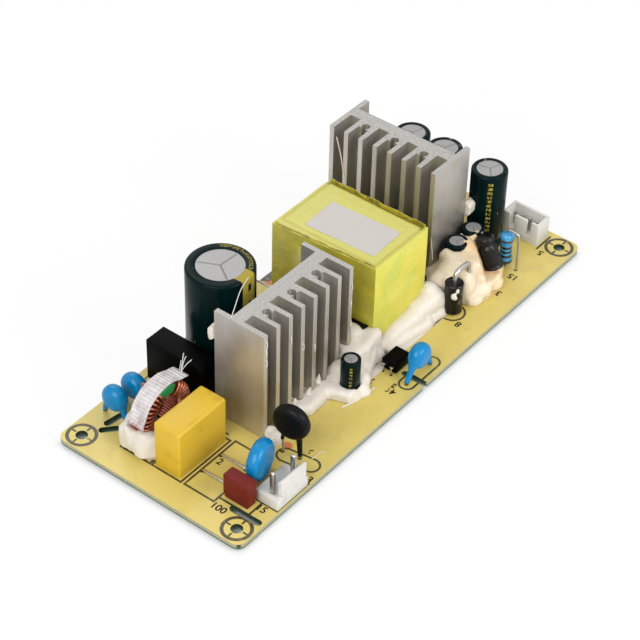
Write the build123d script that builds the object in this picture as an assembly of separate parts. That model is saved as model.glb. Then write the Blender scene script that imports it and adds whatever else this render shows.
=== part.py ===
from build123d import *
import os
from math import cos, radians, sin

# Open-frame switching power supply on one circuit board, in millimetres.
# X runs along the board from the mains end to the output end, Y across it, Z up.
# The origin is the centre of the four mounting holes, on the component face.

# Board
board_width = 60.0
board_thickness = 1.6
board_corner_radius = 2.5
mounting_hole_inset = 4.5
mounting_hole_radius = 1.6
slot_width = 2.0
side_slot_gap = 3.3
side_slot_start = 1.8
side_slot_end = 9.5
edge_slot_shift = -0.9
edge_slot_end = 6.4
bent_slot_start = 1.0
bent_slot_bend = -3.2
bent_slot_end = -5.9
bent_slot_drop = 3.0
cut_margin = 1.0
left_margin = 8.3
right_margin = 2.4

# Small round parts are drawn with flats round them, to keep the model light.
round_sides = 24
hidden_sides = 20
drilled_sides = 12
wire_sides = 6
lead_sides = 4

# Leads, their holes and their solder joints
thin_lead = 0.7
thick_lead = 1.1
lead_hole_clearance = 0.15
solder_ring = 0.7
solder_height = 1.2

# Mains filter capacitor in a box
film_length = 18.0
film_width = 8.4
film_height = 14.5
film_edge = 0.5
film_lead_pitch = 15.0
film_spacing = 10.35

# Common-mode choke, a ring standing on its rim
ring_outer_radius = 8.0
ring_inner_radius = 5.0
ring_thickness = 5.0
ring_centre_height = 8.95
ring_tilt_angle = -6.0
wire_radius = 0.31
wire_clearance = 0.08
turns = 16
winding_span_angle = 138.0
choke_spacing = 12.85
choke_shift = 0.4
paper_thickness = 0.15
paper_start_angle = 48.0
paper_end_angle = 155.0

# Blue coated safety capacitors
safety_diameter = 8.4
safety_thickness = 4.2
safety_edge = 1.2
safety_height = 7.0
safety_leg_radius = 0.85
safety_leg_low = 0.4
mains_safety_pitch = 7.5
output_safety_pitch = 10.4
mains_safety_spacing = 7.0
mains_safety_shift = -2.3
mains_safety_back_inset = 6.6
output_safety_front_inset = 3.65
output_safety_shift = -10.3

# Fuse in a small box
fuse_length = 8.0
fuse_width = 3.8
fuse_height = 7.8
fuse_edge = 0.35
fuse_base_height = 1.4
fuse_lead_pitch = 5.0
fuse_left_inset = 10.6
fuse_front_inset = 6.2

# Mains header, with the middle of its three pins left out
mains_header_length = 11.8
mains_header_depth = 7.4
mains_header_floor = 3.2
mains_wall_length = 9.4
mains_wall_thickness = 1.5
mains_wall_height = 8.5
mains_wall_shift = 0.5
mains_pin_width = 1.1
mains_pin_pitch = 7.92
mains_pin_top = 10.0
mains_pin_inset = 4.2
mains_header_gap = 0.7
mains_header_front_inset = 0.4

# Varistor, a blue coated disc
varistor_diameter = 11.3
varistor_thickness = 4.0
varistor_edge = 1.3
varistor_height = 6.9
varistor_leg_low = 0.4
varistor_leg_radius = 0.8
varistor_pitch = 7.5
varistor_turn = 14.0
varistor_gap = 3.0

# Thermistor, a black coated disc
thermistor_diameter = 11.8
thermistor_thickness = 4.2
thermistor_edge = 1.3
thermistor_height = 11.4
thermistor_leg_low = 3.0
thermistor_leg_radius = 0.85
thermistor_pitch = 5.0
thermistor_turn = 99.0
thermistor_gap = 5.7
thermistor_heatsink_gap = 2.92

# Bridge rectifier
bridge_width = 18.5
bridge_thickness = 6.8
bridge_bottom = 1.0
bridge_top = 14.0
bridge_corner = 1.0
bridge_lead_pitch = 5.08
bridge_gap = 4.1
bridge_heatsink_gap = 2.9

# Heatsinks, one extrusion cut to two lengths
fin_count = 8
fin_pitch = 4.87
fin_thickness = 1.5
fin_length = 7.5
plate_thickness = 3.7
flange_length = 4.7
groove_radius = 1.15
groove_depth = 1.75
groove_mouth = 1.2
primary_heatsink_height = 34.0
secondary_heatsink_height = 36.0
primary_heatsink_gap = 6.1
primary_plate_y = 0.4
heatsink_pin_height = 8.0
heatsink_pin_width = 1.95
device_gap_index = 4

# Power devices screwed to the heatsinks
tab_width = 10.0
tab_height = 15.6
tab_thickness = 1.3
tab_hole_radius = 1.85
tab_hole_inset = 2.8
case_height = 9.2
case_thickness = 3.2
case_bottom = 7.2
leg_width = 0.8
leg_thickness = 0.5
leg_pitch = 2.54
leg_offset = 2.2
pad_thickness = 0.2
pad_margin = 1.0
screw_radius = 1.5
screw_head_radius = 2.75
screw_head_height = 2.2
screw_slot_width = 0.7
screw_slot_depth = 0.9
screw_reach = 1.2

# Capacitors in printed sleeves
sleeve_thickness = 0.15
can_edge = 0.5
bulk_diameter = 18.0
bulk_height = 34.0
bulk_lip = 2.6
bulk_lead_pitch = 7.5
bulk_gap = 0.6
bulk_heatsink_gap = 1.15
output_diameter = 10.0
output_height = 25.4
output_lip = 1.3
output_lead_pitch = 5.0
output_back_inset = 10.9
output_spacing = 11.2
output_front_spacing = 15.2
small_diameter = 6.0
small_height = 11.4
small_lip = 0.8
small_lead_pitch = 2.5
small_first_shift = 7.2
small_second_shift = 15.0
small_heatsink_gap = 0.66
control_diameter = 5.0
control_height = 11.2
control_lip = 0.7
control_lead_pitch = 2.0
control_shift = -7.3
control_heatsink_gap = 3.2

# Transformer
core_length = 32.0
core_width = 22.0
core_height = 25.0
core_back = 4.4
core_bore_radius = 13.75
post_radius = 6.75
core_stand_off = 3.0
bobbin_clearance = 0.3
bobbin_wall = 0.9
bobbin_flange = 1.0
winding_gap = 0.6
rail_width = 3.55
rail_length = 29.4
pin_count = 6
pin_pitch = 5.08
tape_thickness = 0.35
label_length = 22.0
label_width = 12.4
label_thickness = 0.12
label_turn = 2.5
label_shift = -1.8
label_front_shift = -1.5
transformer_y = 4.5
transformer_gap = 4.76

# Optocoupler
opto_length = 6.2
opto_width = 4.6
opto_height = 3.5
opto_stand_off = 0.5
opto_edge = 0.4
opto_row = 7.62
opto_leg_pitch = 2.54
opto_leg_width = 0.9
opto_leg_thickness = 0.3
opto_shift = -11.4
opto_front_inset = 10.2
opto_clearance = 0.3

# Standing diode, its thick lead bent over
diode_radius = 2.6
diode_length = 9.6
diode_stand_off = 0.9
diode_lead = 1.2
diode_span = 6.6
diode_rise = 4.0
diode_bend = 1.9
diode_shift = -6.8
diode_front_inset = 11.4

# Rod choke
rod_radius = 2.7
rod_edge = 0.4
rod_length = 12.6
rod_stand_off = 1.2
rod_lead_pitch = 3.0
rod_shift = -3.8
rod_spacing = 7.6

# Standing resistor
resistor_radius = 1.7
resistor_cap_radius = 2.0
resistor_cap_length = 2.6
resistor_length = 10.4
resistor_stand_off = 1.0
resistor_span = 3.8
resistor_rise = 0.9
resistor_shift = 0.15
resistor_spacing = 10.7

# Output header, a shrouded socket
output_header_length = 11.8
output_header_depth = 5.9
output_header_height = 7.2
output_header_wall = 0.8
output_header_floor = 2.0
output_header_slot = 1.6
output_header_slot_spacing = 5.6
output_header_front_inset = 9.7
output_pin_width = 0.64
output_pin_pitch = 2.5
output_pin_count = 4
output_pin_top = 6.2
output_header_gap = 2.25

# Gaps between the columns of parts
secondary_heatsink_gap = 7.75
output_column_gap = 3.05

# Jumper wires lying on the board
jumper_wire = 0.7
jumper_height = 0.42
jumper_spacing = 7.1
jumper_shift = 3.9
jumper_start_share = 0.2
jumper_fuse_share = 0.84
jumper_varistor_share = 0.68

# Silicone, poured round the parts
silicone_edge = 1.0
choke_silicone_length = 18.8
choke_silicone_width = 12.8
choke_silicone_height = 7.4
front_silicone_length = 61.5
front_silicone_width = 15.6
front_silicone_height = 3.2
front_lump_length = 15.3
front_lump_width = 16.6
front_lump_height = 8.6
output_silicone_length = 22.6
output_silicone_width = 18.1
output_silicone_height = 5.0
output_lump_height = 10.4
dab_length = 2.4
dab_depth = 1.8
dab_height = 4.2
dab_edge = 0.7
first_dab_low = 24.4
second_dab_low = 13.0
second_dab_width = 2.8
second_dab_overlap = 1.2

# The columns of parts add up to the board's length.
heatsink_width = (fin_count - 1) * fin_pitch + fin_thickness
heatsink_depth = flange_length + plate_thickness + fin_length
rail_reach = core_width / 2 + bobbin_clearance + rail_width
output_column = output_diameter + 2 * sleeve_thickness
film_left = left_margin
primary_left = film_left + film_length + primary_heatsink_gap
transformer_left = primary_left + heatsink_width + transformer_gap
secondary_left = transformer_left + 2 * rail_reach + secondary_heatsink_gap
output_left = secondary_left + heatsink_depth + output_column_gap
header_left = output_left + output_column + output_header_gap
board_length = header_left + output_header_depth + right_margin
start = -board_length / 2
front = -board_width / 2
back = board_width / 2

# Places of the parts
film_x = start + film_left + film_length / 2
film_right = film_x + film_length / 2
choke_x = film_x + choke_shift
first_safety_x = film_x + mains_safety_shift
second_safety_x = first_safety_x + mains_safety_spacing
mains_safety_y = back - mains_safety_back_inset
choke_y = mains_safety_y - choke_spacing
film_y = choke_y - film_spacing
fuse_x = start + fuse_left_inset + fuse_width / 2
fuse_y = front + fuse_front_inset + fuse_length / 2
fuse_right = fuse_x + fuse_width / 2
mains_header_x = fuse_right + mains_header_gap + mains_header_length / 2
mains_header_y = front + mains_header_front_inset + mains_header_depth / 2
mains_header_right = mains_header_x + mains_header_length / 2
mains_pin_y = mains_header_y + mains_header_depth / 2 - mains_pin_inset
varistor_x = mains_header_x
varistor_y = mains_header_y + mains_header_depth / 2 + varistor_gap
thermistor_x = mains_header_right + thermistor_gap
primary_fins_y = primary_plate_y - plate_thickness - fin_length
primary_flange_y = primary_plate_y + flange_length
thermistor_y = primary_fins_y - thermistor_heatsink_gap - thermistor_diameter / 2
bridge_x = film_right + bridge_gap + bridge_thickness / 2
bridge_y = primary_flange_y + bridge_heatsink_gap + bridge_width / 2
primary_x = start + primary_left + heatsink_width / 2
primary_right = primary_x + heatsink_width / 2
bulk_x = bridge_x + bridge_thickness / 2 + bulk_gap + bulk_diameter / 2 + sleeve_thickness
bulk_y = primary_flange_y + bulk_heatsink_gap + bulk_diameter / 2 + sleeve_thickness
transformer_x = start + transformer_left + rail_reach
secondary_x = start + secondary_left + plate_thickness + fin_length
secondary_heatsink_y = back - heatsink_width / 2
secondary_end_y = secondary_heatsink_y - heatsink_width / 2
output_x = start + output_left + output_column / 2
output_back_y = back - output_back_inset
output_middle_y = output_back_y - output_spacing
output_front_y = output_middle_y - output_front_spacing
header_x = start + header_left + output_header_depth / 2
header_y = front + output_header_front_inset + output_header_length / 2
control_x = primary_right + control_shift
control_y = primary_fins_y - control_heatsink_gap - control_diameter / 2
opto_x = transformer_x + opto_shift
opto_y = front + opto_front_inset
output_safety_x = transformer_x + output_safety_shift
output_safety_y = front + output_safety_front_inset
diode_x = start + secondary_left + diode_shift
diode_y = front + diode_front_inset
small_y = secondary_end_y - small_heatsink_gap - small_diameter / 2 - sleeve_thickness
rod_x = start + secondary_left + heatsink_depth + rod_shift
rod_y = small_y - rod_spacing
resistor_x = start + output_left + resistor_shift
resistor_y = output_front_y - resistor_spacing
small_first_x = start + secondary_left + small_first_shift
small_second_x = start + secondary_left + small_second_shift
jumper_x = film_x + jumper_shift
film_front_y = film_y - film_width / 2
fuse_room = film_front_y - fuse_y - fuse_length / 2
jumper_y = film_front_y - jumper_start_share * fuse_room
jumper_fuse_end = film_front_y - jumper_fuse_share * fuse_room
jumper_varistor_end = film_front_y - jumper_varistor_share * (film_front_y - varistor_y)
underside = -board_thickness


def section(width, sides=lead_sides):
    """A wire's section, given across its flats, with a flat towards +X."""
    return RegularPolygon(width / 2, sides, major_radius=False, rotation=180 / sides)


def upright(x, y, width, low, high, sides=lead_sides):
    """A straight lead or pin standing on end."""
    return extrude(Pos(x, y, low) * section(width, sides), amount=high - low)


def drum(x, y, radius, low, high, sides=round_sides):
    """A round part standing on end, drawn with flats that touch its radius."""
    outline = RegularPolygon(radius, sides, major_radius=False, rotation=180 / sides)
    return extrude(Pos(x, y, low) * outline, amount=high - low)


def corners(x, y, z, width, sides):
    """The corners of a wire's section at a place."""
    reach = width / 2 / cos(radians(180 / sides))
    turns_to = [radians(180 / sides + i * 360 / sides) for i in range(sides)]
    return [(x + reach * cos(turn), y + reach * sin(turn), z) for turn in turns_to]


def tapered(low, high):
    """A solid with flat sides between two outlines that have as many corners."""
    after = low[1:] + low[:1]
    above = high[1:] + high[:1]
    faces = [Face(Wire.make_polygon(quad)) for quad in zip(low, after, above, high)]
    faces += [Face(Wire.make_polygon(low)), Face(Wire.make_polygon(high))]
    return Solid(Shell(faces))


def block(x, y, low, length, width, height):
    """A box given by the centre and the height of its underside."""
    return Pos(x, y, low + height / 2) * Box(length, width, height)


def bent_wire(points, width, sides=wire_sides):
    """A wire of straight runs with mitred bends."""
    path = Polyline(*points)
    start_section = Plane(origin=path @ 0, z_dir=path % 0) * section(width, sides)
    return sweep(start_section, path=path, transition=Transition.RIGHT)


def pair(x, y, pitch, along_x):
    """The two lead places of a part, a pitch apart along X or along Y."""
    half = pitch / 2
    if along_x:
        return [(x - half, y), (x + half, y)]
    return [(x, y - half), (x, y + half)]


def turned_pair(x, y, pitch, angle):
    """The two lead places of a part that stands turned about Z."""
    dx = pitch / 2 * cos(radians(angle))
    dy = pitch / 2 * sin(radians(angle))
    return [(x - dx, y - dy), (x + dx, y + dy)]


def row(x, y, pitch, count):
    """Places in a line along Y."""
    return [(x, y + (i - (count - 1) / 2) * pitch) for i in range(count)]


def gap_places():
    """The middles of the gaps between fins, across the heatsink."""
    return [(i - (fin_count - 2) / 2) * fin_pitch for i in range(fin_count - 1)]


def groove_places():
    """Every second gap has a groove, from the second gap on."""
    return gap_places()[1::2]


primary_seat = Pos(primary_x, primary_plate_y, 0)
secondary_seat = Pos(secondary_x, secondary_heatsink_y, 0) * Rot(0, 0, -90)


def seated(seat, x, y):
    """A place on a heatsink, given across and behind its plate, on the board."""
    spot = (seat * Pos(x, y, 0)).position
    return (spot.X, spot.Y)


def device_leg_places(seat):
    """The three legs of a power device on a heatsink."""
    middle = gap_places()[device_gap_index]
    depth = pad_thickness + leg_offset
    return [seated(seat, middle + i * leg_pitch, depth) for i in (-1, 0, 1)]


def heatsink_pin_places(seat):
    """Pins stand in the outer two grooves of a heatsink."""
    across = (groove_places()[0], groove_places()[-1])
    return [seated(seat, x, -plate_thickness - groove_depth) for x in across]


def output_capacitor_places():
    """The three tall capacitors beside the output header."""
    return [(output_x, y) for y in (output_back_y, output_middle_y, output_front_y)]


def small_capacitor_places():
    """The two small capacitors in front of the second heatsink."""
    return [(small_first_x, small_y), (small_second_x, small_y)]


def transformer_pin_places():
    """Six pins in each of the two rails."""
    reach = rail_reach - rail_width / 2
    left = row(transformer_x - reach, transformer_y, pin_pitch, pin_count)
    return left + row(transformer_x + reach, transformer_y, pin_pitch, pin_count)


def opto_leg_places():
    """Four legs in two rows."""
    half = opto_row / 2
    left = row(opto_x - half, opto_y, opto_leg_pitch, 2)
    return left + row(opto_x + half, opto_y, opto_leg_pitch, 2)


def jumper_places():
    """Each jumper's two ends."""
    left_x = jumper_x - jumper_spacing
    left = [(left_x, jumper_y), (left_x, jumper_fuse_end)]
    return left + [(jumper_x, jumper_y), (jumper_x, jumper_varistor_end)]


def winding_route(side):
    """The turns of one choke wire, from the top of the ring down its left or right side."""
    grip = wire_radius + wire_clearance
    flat = ring_thickness / 2 + grip
    first = 90 + ring_tilt_angle + side * (90 - winding_span_angle / 2)
    step = side * winding_span_angle / turns
    points = []
    for i in range(turns):
        for part, radius, y in (
            (0.25, ring_outer_radius + grip, -flat),
            (0.25, ring_inner_radius - grip, -flat),
            (0.75, ring_inner_radius - grip, flat),
            (0.75, ring_outer_radius + grip, flat),
        ):
            angle = radians(first + step * (i + part))
            across = choke_x + radius * cos(angle)
            points.append((across, choke_y + y, ring_centre_height + radius * sin(angle)))
    return points


def riser_y():
    """Where the first end of each choke wire comes up behind the turns."""
    return choke_y + ring_thickness / 2 + 3 * (wire_radius + wire_clearance)


def choke_lead_places():
    """Where the two wires of the choke go through the board."""
    places = []
    for side in (-1, 1):
        route = winding_route(side)
        places.append((route[0][0], riser_y()))
        places.append((route[-1][0], route[-1][1]))
    return places


def twin(x, y, pitch, width=thin_lead, sides=lead_sides):
    """A part with two leads, a pitch apart along X."""
    return (width, sides, pair(x, y, pitch, True))


lead_places = {
    "film": twin(film_x, film_y, film_lead_pitch, thick_lead),
    "choke": (2 * wire_radius, lead_sides, choke_lead_places()),
    "first_safety": (
        thin_lead,
        lead_sides,
        pair(first_safety_x, mains_safety_y, mains_safety_pitch, False),
    ),
    "second_safety": (
        thin_lead,
        lead_sides,
        pair(second_safety_x, mains_safety_y, mains_safety_pitch, False),
    ),
    "output_safety": twin(output_safety_x, output_safety_y, output_safety_pitch),
    "fuse": (thin_lead, lead_sides, pair(fuse_x, fuse_y, fuse_lead_pitch, False)),
    "mains_header": (
        mains_pin_width,
        lead_sides,
        pair(mains_header_x, mains_pin_y, mains_pin_pitch, True),
    ),
    "varistor": (
        thin_lead,
        lead_sides,
        turned_pair(varistor_x, varistor_y, varistor_pitch, varistor_turn),
    ),
    "thermistor": (
        thin_lead,
        lead_sides,
        turned_pair(thermistor_x, thermistor_y, thermistor_pitch, thermistor_turn),
    ),
    "bridge": (thick_lead, lead_sides, row(bridge_x, bridge_y, bridge_lead_pitch, 4)),
    "bulk": (thick_lead, lead_sides, pair(bulk_x, bulk_y, bulk_lead_pitch, True)),
    "output_capacitors": (
        thin_lead,
        lead_sides,
        [p for x, y in output_capacitor_places() for p in pair(x, y, output_lead_pitch, True)],
    ),
    "small_capacitors": (
        thin_lead,
        lead_sides,
        [p for x, y in small_capacitor_places() for p in pair(x, y, small_lead_pitch, True)],
    ),
    "control": (
        thin_lead,
        lead_sides,
        pair(control_x, control_y, control_lead_pitch, True),
    ),
    "transformer": (thin_lead, lead_sides, transformer_pin_places()),
    "opto": (opto_leg_width / 2, lead_sides, opto_leg_places()),
    "diode": twin(diode_x + diode_span / 2, diode_y, diode_span, diode_lead, wire_sides),
    "rod": (thin_lead, lead_sides, pair(rod_x, rod_y, rod_lead_pitch, False)),
    "resistor": (
        thin_lead,
        wire_sides,
        pair(resistor_x, resistor_y - resistor_span / 2, resistor_span, False),
    ),
    "output_header": (
        output_pin_width,
        lead_sides,
        row(header_x, header_y, output_pin_pitch, output_pin_count),
    ),
    "jumpers": (jumper_wire, wire_sides, jumper_places()),
    "transistor": (leg_width, lead_sides, device_leg_places(primary_seat)),
    "rectifier": (leg_width, lead_sides, device_leg_places(secondary_seat)),
    "primary_pins": (heatsink_pin_width, wire_sides, heatsink_pin_places(primary_seat)),
    "secondary_pins": (heatsink_pin_width, wire_sides, heatsink_pin_places(secondary_seat)),
}


def leads(name, high):
    """The straight leads of a part, from the underside of the board up."""
    width, sides, places = lead_places[name]
    return [upright(x, y, width, underside, high, sides) for x, y in places]


def slot(a, b):
    """A milled slot between two points."""
    run = Vector(*b) - Vector(*a)
    middle = (Vector(*a) + Vector(*b)) / 2
    turn = Vector(1, 0).get_signed_angle(run)
    return Pos(middle.X, middle.Y) * Rot(0, 0, turn) * SlotCenterToCenter(run.length, slot_width)


def slots():
    """Isolation slots: one bent, one straight, one open at the front edge."""
    bend = (first_safety_x + bent_slot_bend, mains_safety_y - slot_width / 3)
    bent = slot((first_safety_x + bent_slot_start, mains_safety_y), bend)
    bent += slot(bend, (first_safety_x + bent_slot_end, mains_safety_y - bent_slot_drop))
    side = fuse_x - side_slot_gap
    straight = slot((side, front + side_slot_start), (side, front + side_slot_end))
    edge_x = opto_x + edge_slot_shift
    edge = slot((edge_x, front - slot_width), (edge_x, front + edge_slot_end))
    return bent + straight + edge


def board():
    """The laminate, with its mounting holes, slots and lead holes."""
    outline = RectangleRounded(board_length, board_width, board_corner_radius)
    hole_x = board_length / 2 - mounting_hole_inset
    hole_y = board_width / 2 - mounting_hole_inset
    cut = slots()
    for x in (-hole_x, hole_x):
        for y in (-hole_y, hole_y):
            cut += Pos(x, y) * Circle(mounting_hole_radius)
    for width, sides, places in lead_places.values():
        hole = section(width + 2 * lead_hole_clearance, sides)
        for x, y in places:
            cut += Pos(x, y) * hole
    return extrude(outline - cut, amount=-board_thickness)


def solder_joints():
    """A cone of solder under the board at every lead."""
    joints = []
    for width, sides, places in lead_places.values():
        for x, y in places:
            foot = corners(x, y, underside, width + 2 * solder_ring, sides)
            tip = corners(x, y, underside - solder_height, width, sides)
            joints.append(tapered(tip, foot))
    return joints


def film_capacitor():
    """The yellow box."""
    body = block(film_x, film_y, 0, film_length, film_width, film_height)
    return chamfer(body.edges().filter_by(Axis.Z) + body.faces().sort_by(Axis.Z)[-1].edges(), film_edge)


def choke_core():
    """The coated ring."""
    half = ring_thickness / 2
    body = drum(0, 0, ring_outer_radius, -half, half) - drum(0, 0, ring_inner_radius, -half, half)
    return Pos(choke_x, choke_y, ring_centre_height) * Rot(90, 0, 0) * body


def choke_winding(side):
    """One enamelled wire: up from the board, round the ring and down again."""
    route = winding_route(side)
    first, last = route[0], route[-1]
    riser = [(first[0], riser_y(), underside), (first[0], riser_y(), first[2])]
    down = [(last[0], last[1], underside)]
    width = 2 * wire_radius * cos(radians(180 / lead_sides))
    return bent_wire(riser + route + down, width, lead_sides)


def paper_radius():
    """The inside of the paper band, clear of the turns."""
    return ring_outer_radius + 2 * wire_radius + 2 * wire_clearance + wire_radius / 3


def choke_paper():
    """The paper band round the rim, over the turns."""
    inner = paper_radius()
    middle = inner + paper_thickness / 2
    arc = CenterArc((0, 0), middle, paper_start_angle, paper_end_angle - paper_start_angle)
    band = extrude(trace(arc, paper_thickness), amount=ring_thickness)
    turned = Pos(0, ring_thickness / 2, 0) * Rot(90, 0, 0) * band
    return Pos(choke_x, choke_y, ring_centre_height) * turned


def coated_disc(diameter, thickness, edge, height, low, pitch, leg_radius):
    """A dipped disc on edge in the XZ plane, with its coating run down both legs."""
    disc = drum(0, 0, diameter / 2, -thickness / 2, thickness / 2)
    disc = chamfer(disc.faces().filter_by(Axis.Z).edges(), edge)
    body = Pos(0, 0, height) * Rot(90, 0, 0) * disc
    for side in (-1, 1):
        foot = corners(side * pitch / 2, 0, low, 1.6 * leg_radius, wire_sides)
        top = height - diameter / 4
        body += tapered(foot, corners(side * diameter / 4, 0, top, 2.6 * leg_radius, wire_sides))
    return body


def safety_capacitors():
    """Two across the mains end, one at the front edge."""
    mains = coated_disc(
        safety_diameter,
        safety_thickness,
        safety_edge,
        safety_height,
        safety_leg_low,
        mains_safety_pitch,
        safety_leg_radius,
    )
    wide = coated_disc(
        safety_diameter,
        safety_thickness,
        safety_edge,
        safety_height,
        safety_leg_low,
        output_safety_pitch,
        safety_leg_radius,
    )
    return [
        Pos(first_safety_x, mains_safety_y, 0) * Rot(0, 0, 90) * mains,
        Pos(second_safety_x, mains_safety_y, 0) * Rot(0, 0, 90) * mains,
        Pos(output_safety_x, output_safety_y, 0) * wide,
    ]


def varistor():
    """The blue disc behind the mains header."""
    body = coated_disc(
        varistor_diameter,
        varistor_thickness,
        varistor_edge,
        varistor_height,
        varistor_leg_low,
        varistor_pitch,
        varistor_leg_radius,
    )
    return Pos(varistor_x, varistor_y, 0) * Rot(0, 0, varistor_turn) * body


def thermistor():
    """The black disc at the end of the first heatsink."""
    body = coated_disc(
        thermistor_diameter,
        thermistor_thickness,
        thermistor_edge,
        thermistor_height,
        thermistor_leg_low,
        thermistor_pitch,
        thermistor_leg_radius,
    )
    return Pos(thermistor_x, thermistor_y, 0) * Rot(0, 0, thermistor_turn) * body


def fuse_cap():
    """The red box of the fuse."""
    height = fuse_height - fuse_base_height
    body = block(fuse_x, fuse_y, fuse_base_height, fuse_width, fuse_length, height)
    return chamfer(body.edges().filter_by(Axis.Z) + body.faces().sort_by(Axis.Z)[-1].edges(), fuse_edge)


def fuse_base():
    """The foot that the fuse's box is closed with."""
    width = fuse_width - 2 * fuse_edge
    length = fuse_length - 2 * fuse_edge
    return block(fuse_x, fuse_y, 0, width, length, fuse_base_height)


def mains_header():
    """A low floor with a tall locking wall at the board's edge."""
    floor = block(
        mains_header_x, mains_header_y, 0, mains_header_length, mains_header_depth, mains_header_floor
    )
    wall_y = mains_header_y - mains_header_depth / 2 + mains_wall_thickness / 2
    wall_x = mains_header_x + mains_wall_shift
    wall = block(wall_x, wall_y, 0, mains_wall_length, mains_wall_thickness, mains_wall_height)
    top = wall.faces().sort_by(Axis.Z)[-1]
    wall = chamfer(top.edges().sort_by(Axis.Y)[-1:], mains_wall_thickness / 2)
    body = floor + wall
    for x, y in lead_places["mains_header"][2]:
        height = mains_header_floor + 2 * cut_margin
        body -= block(x, y, -cut_margin, mains_pin_width, mains_pin_width, height)
    return body


def square_pins(name, width, high):
    """Square pins of a header, tapered at the tip."""
    pins = []
    for x, y in lead_places[name][2]:
        pin = block(x, y, underside, width, width, high - underside)
        pins.append(chamfer(pin.faces().sort_by(Axis.Z)[-1].edges(), width / 4))
    return pins


def bridge_rectifier():
    """The flat black block standing on its four leads."""
    height = bridge_top - bridge_bottom
    body = block(bridge_x, bridge_y, bridge_bottom, bridge_thickness, bridge_width, height)
    corner = body.edges().filter_by(Axis.X).group_by(Axis.Z)[-1].sort_by(Axis.Y)[0]
    return chamfer(corner, bridge_corner)


def heatsink_profile():
    """The plate with its fins in front, its two flanges behind and the pin grooves."""
    depth = plate_thickness + fin_length
    profile = Pos(0, -plate_thickness / 2) * Rectangle(heatsink_width, plate_thickness)
    for i in range(fin_count):
        x = (i - (fin_count - 1) / 2) * fin_pitch
        profile += Pos(x, -depth / 2) * Rectangle(fin_thickness, depth)
    for side in (-1, 1):
        x = side * (heatsink_width - fin_thickness) / 2
        profile += Pos(x, (flange_length - plate_thickness) / 2) * Rectangle(
            fin_thickness, flange_length + plate_thickness
        )
    gap = fin_pitch - fin_thickness
    collar = groove_depth + groove_radius
    for x in groove_places():
        profile += Pos(x, -plate_thickness - collar / 2) * Rectangle(gap, collar)
        profile -= Pos(x, -plate_thickness - groove_depth) * Circle(groove_radius)
        profile -= Pos(x, -plate_thickness - collar) * Rectangle(groove_mouth, collar)
    return profile


def screw_height():
    """The height of the hole in a power device's tab."""
    return case_bottom + tab_height - tab_hole_inset


def drilled(radius, depth):
    """The space of a hole through plate, pad and tab, on the screw's axis."""
    hole = Rot(90, 0, 0) * drum(0, 0, radius, -depth, depth, drilled_sides)
    return Pos(gap_places()[device_gap_index], 0, screw_height()) * hole


def heatsink(height):
    """A length of the extrusion, drilled for the screw of its power device."""
    body = extrude(heatsink_profile(), amount=height)
    return body - drilled(screw_radius, 3 * plate_thickness)


def heatsink_pins():
    """Round pins in the outer grooves, soldered under the board."""
    return leads("primary_pins", heatsink_pin_height) + leads(
        "secondary_pins", heatsink_pin_height
    )


def device_pad():
    """The insulating pad between a power device and the heatsink."""
    height = tab_height + 2 * pad_margin
    x = gap_places()[device_gap_index]
    width = tab_width + 2 * pad_margin
    pad = block(x, pad_thickness / 2, case_bottom - pad_margin, width, pad_thickness, height)
    return pad - drilled(tab_hole_radius, plate_thickness)


def device_tab():
    """The metal tab with the screw hole."""
    x = gap_places()[device_gap_index]
    y = pad_thickness + tab_thickness / 2
    tab = block(x, y, case_bottom, tab_width, tab_thickness, tab_height)
    return tab - drilled(tab_hole_radius, plate_thickness)


def device_case():
    """The black moulding in front of the tab."""
    x = gap_places()[device_gap_index]
    y = pad_thickness + tab_thickness + case_thickness / 2
    body = block(x, y, case_bottom, tab_width, case_thickness, case_height)
    return chamfer(body.faces().sort_by(Axis.Y)[-1].edges(), case_thickness / 5)


def device_legs():
    """Three flat legs down to the board."""
    y = pad_thickness + leg_offset
    middle = gap_places()[device_gap_index]
    height = case_bottom - underside
    return [
        block(middle + i * leg_pitch, y, underside, leg_width, leg_thickness, height)
        for i in (-1, 0, 1)
    ]


def device_screw():
    """A pan-head screw through the tab and the pad into the plate."""
    under_head = pad_thickness + tab_thickness
    top = under_head + screw_head_height
    body = drum(0, 0, screw_radius, -plate_thickness - screw_reach, under_head, drilled_sides)
    body += drum(0, 0, screw_head_radius, under_head, top)
    across = 3 * screw_head_radius
    body -= block(0, 0, top - screw_slot_depth, across, screw_slot_width, screw_slot_depth)
    return Pos(gap_places()[device_gap_index], 0, screw_height()) * Rot(-90, 0, 0) * body


def can_top(x, y, diameter, height, lip):
    """The bare end of the aluminium can, seen inside the sleeve's turned-in lip."""
    return drum(x, y, diameter / 2 - lip, height - can_edge, height)


def sleeved_can(x, y, diameter, height, lip):
    """The can in its shrunk sleeve, which is turned in over the shoulder."""
    body = drum(x, y, diameter / 2 + sleeve_thickness, 0, height + sleeve_thickness)
    body = chamfer(body.edges().group_by(Axis.Z)[-1], can_edge)
    return body - drum(x, y, diameter / 2 - lip, height - can_edge, height + can_edge)


def every_capacitor(shape):
    """The same piece of every sleeved capacitor: bulk, output, small and control."""
    pieces = [shape(bulk_x, bulk_y, bulk_diameter, bulk_height, bulk_lip)]
    pieces += [
        shape(x, y, output_diameter, output_height, output_lip) for x, y in output_capacitor_places()
    ]
    pieces += [shape(x, y, small_diameter, small_height, small_lip) for x, y in small_capacitor_places()]
    pieces.append(shape(control_x, control_y, control_diameter, control_height, control_lip))
    return pieces


def round_block(radius, low, high):
    """A round piece inside the transformer, on its own axis."""
    return drum(0, 0, radius, low, high, hidden_sides)


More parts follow.
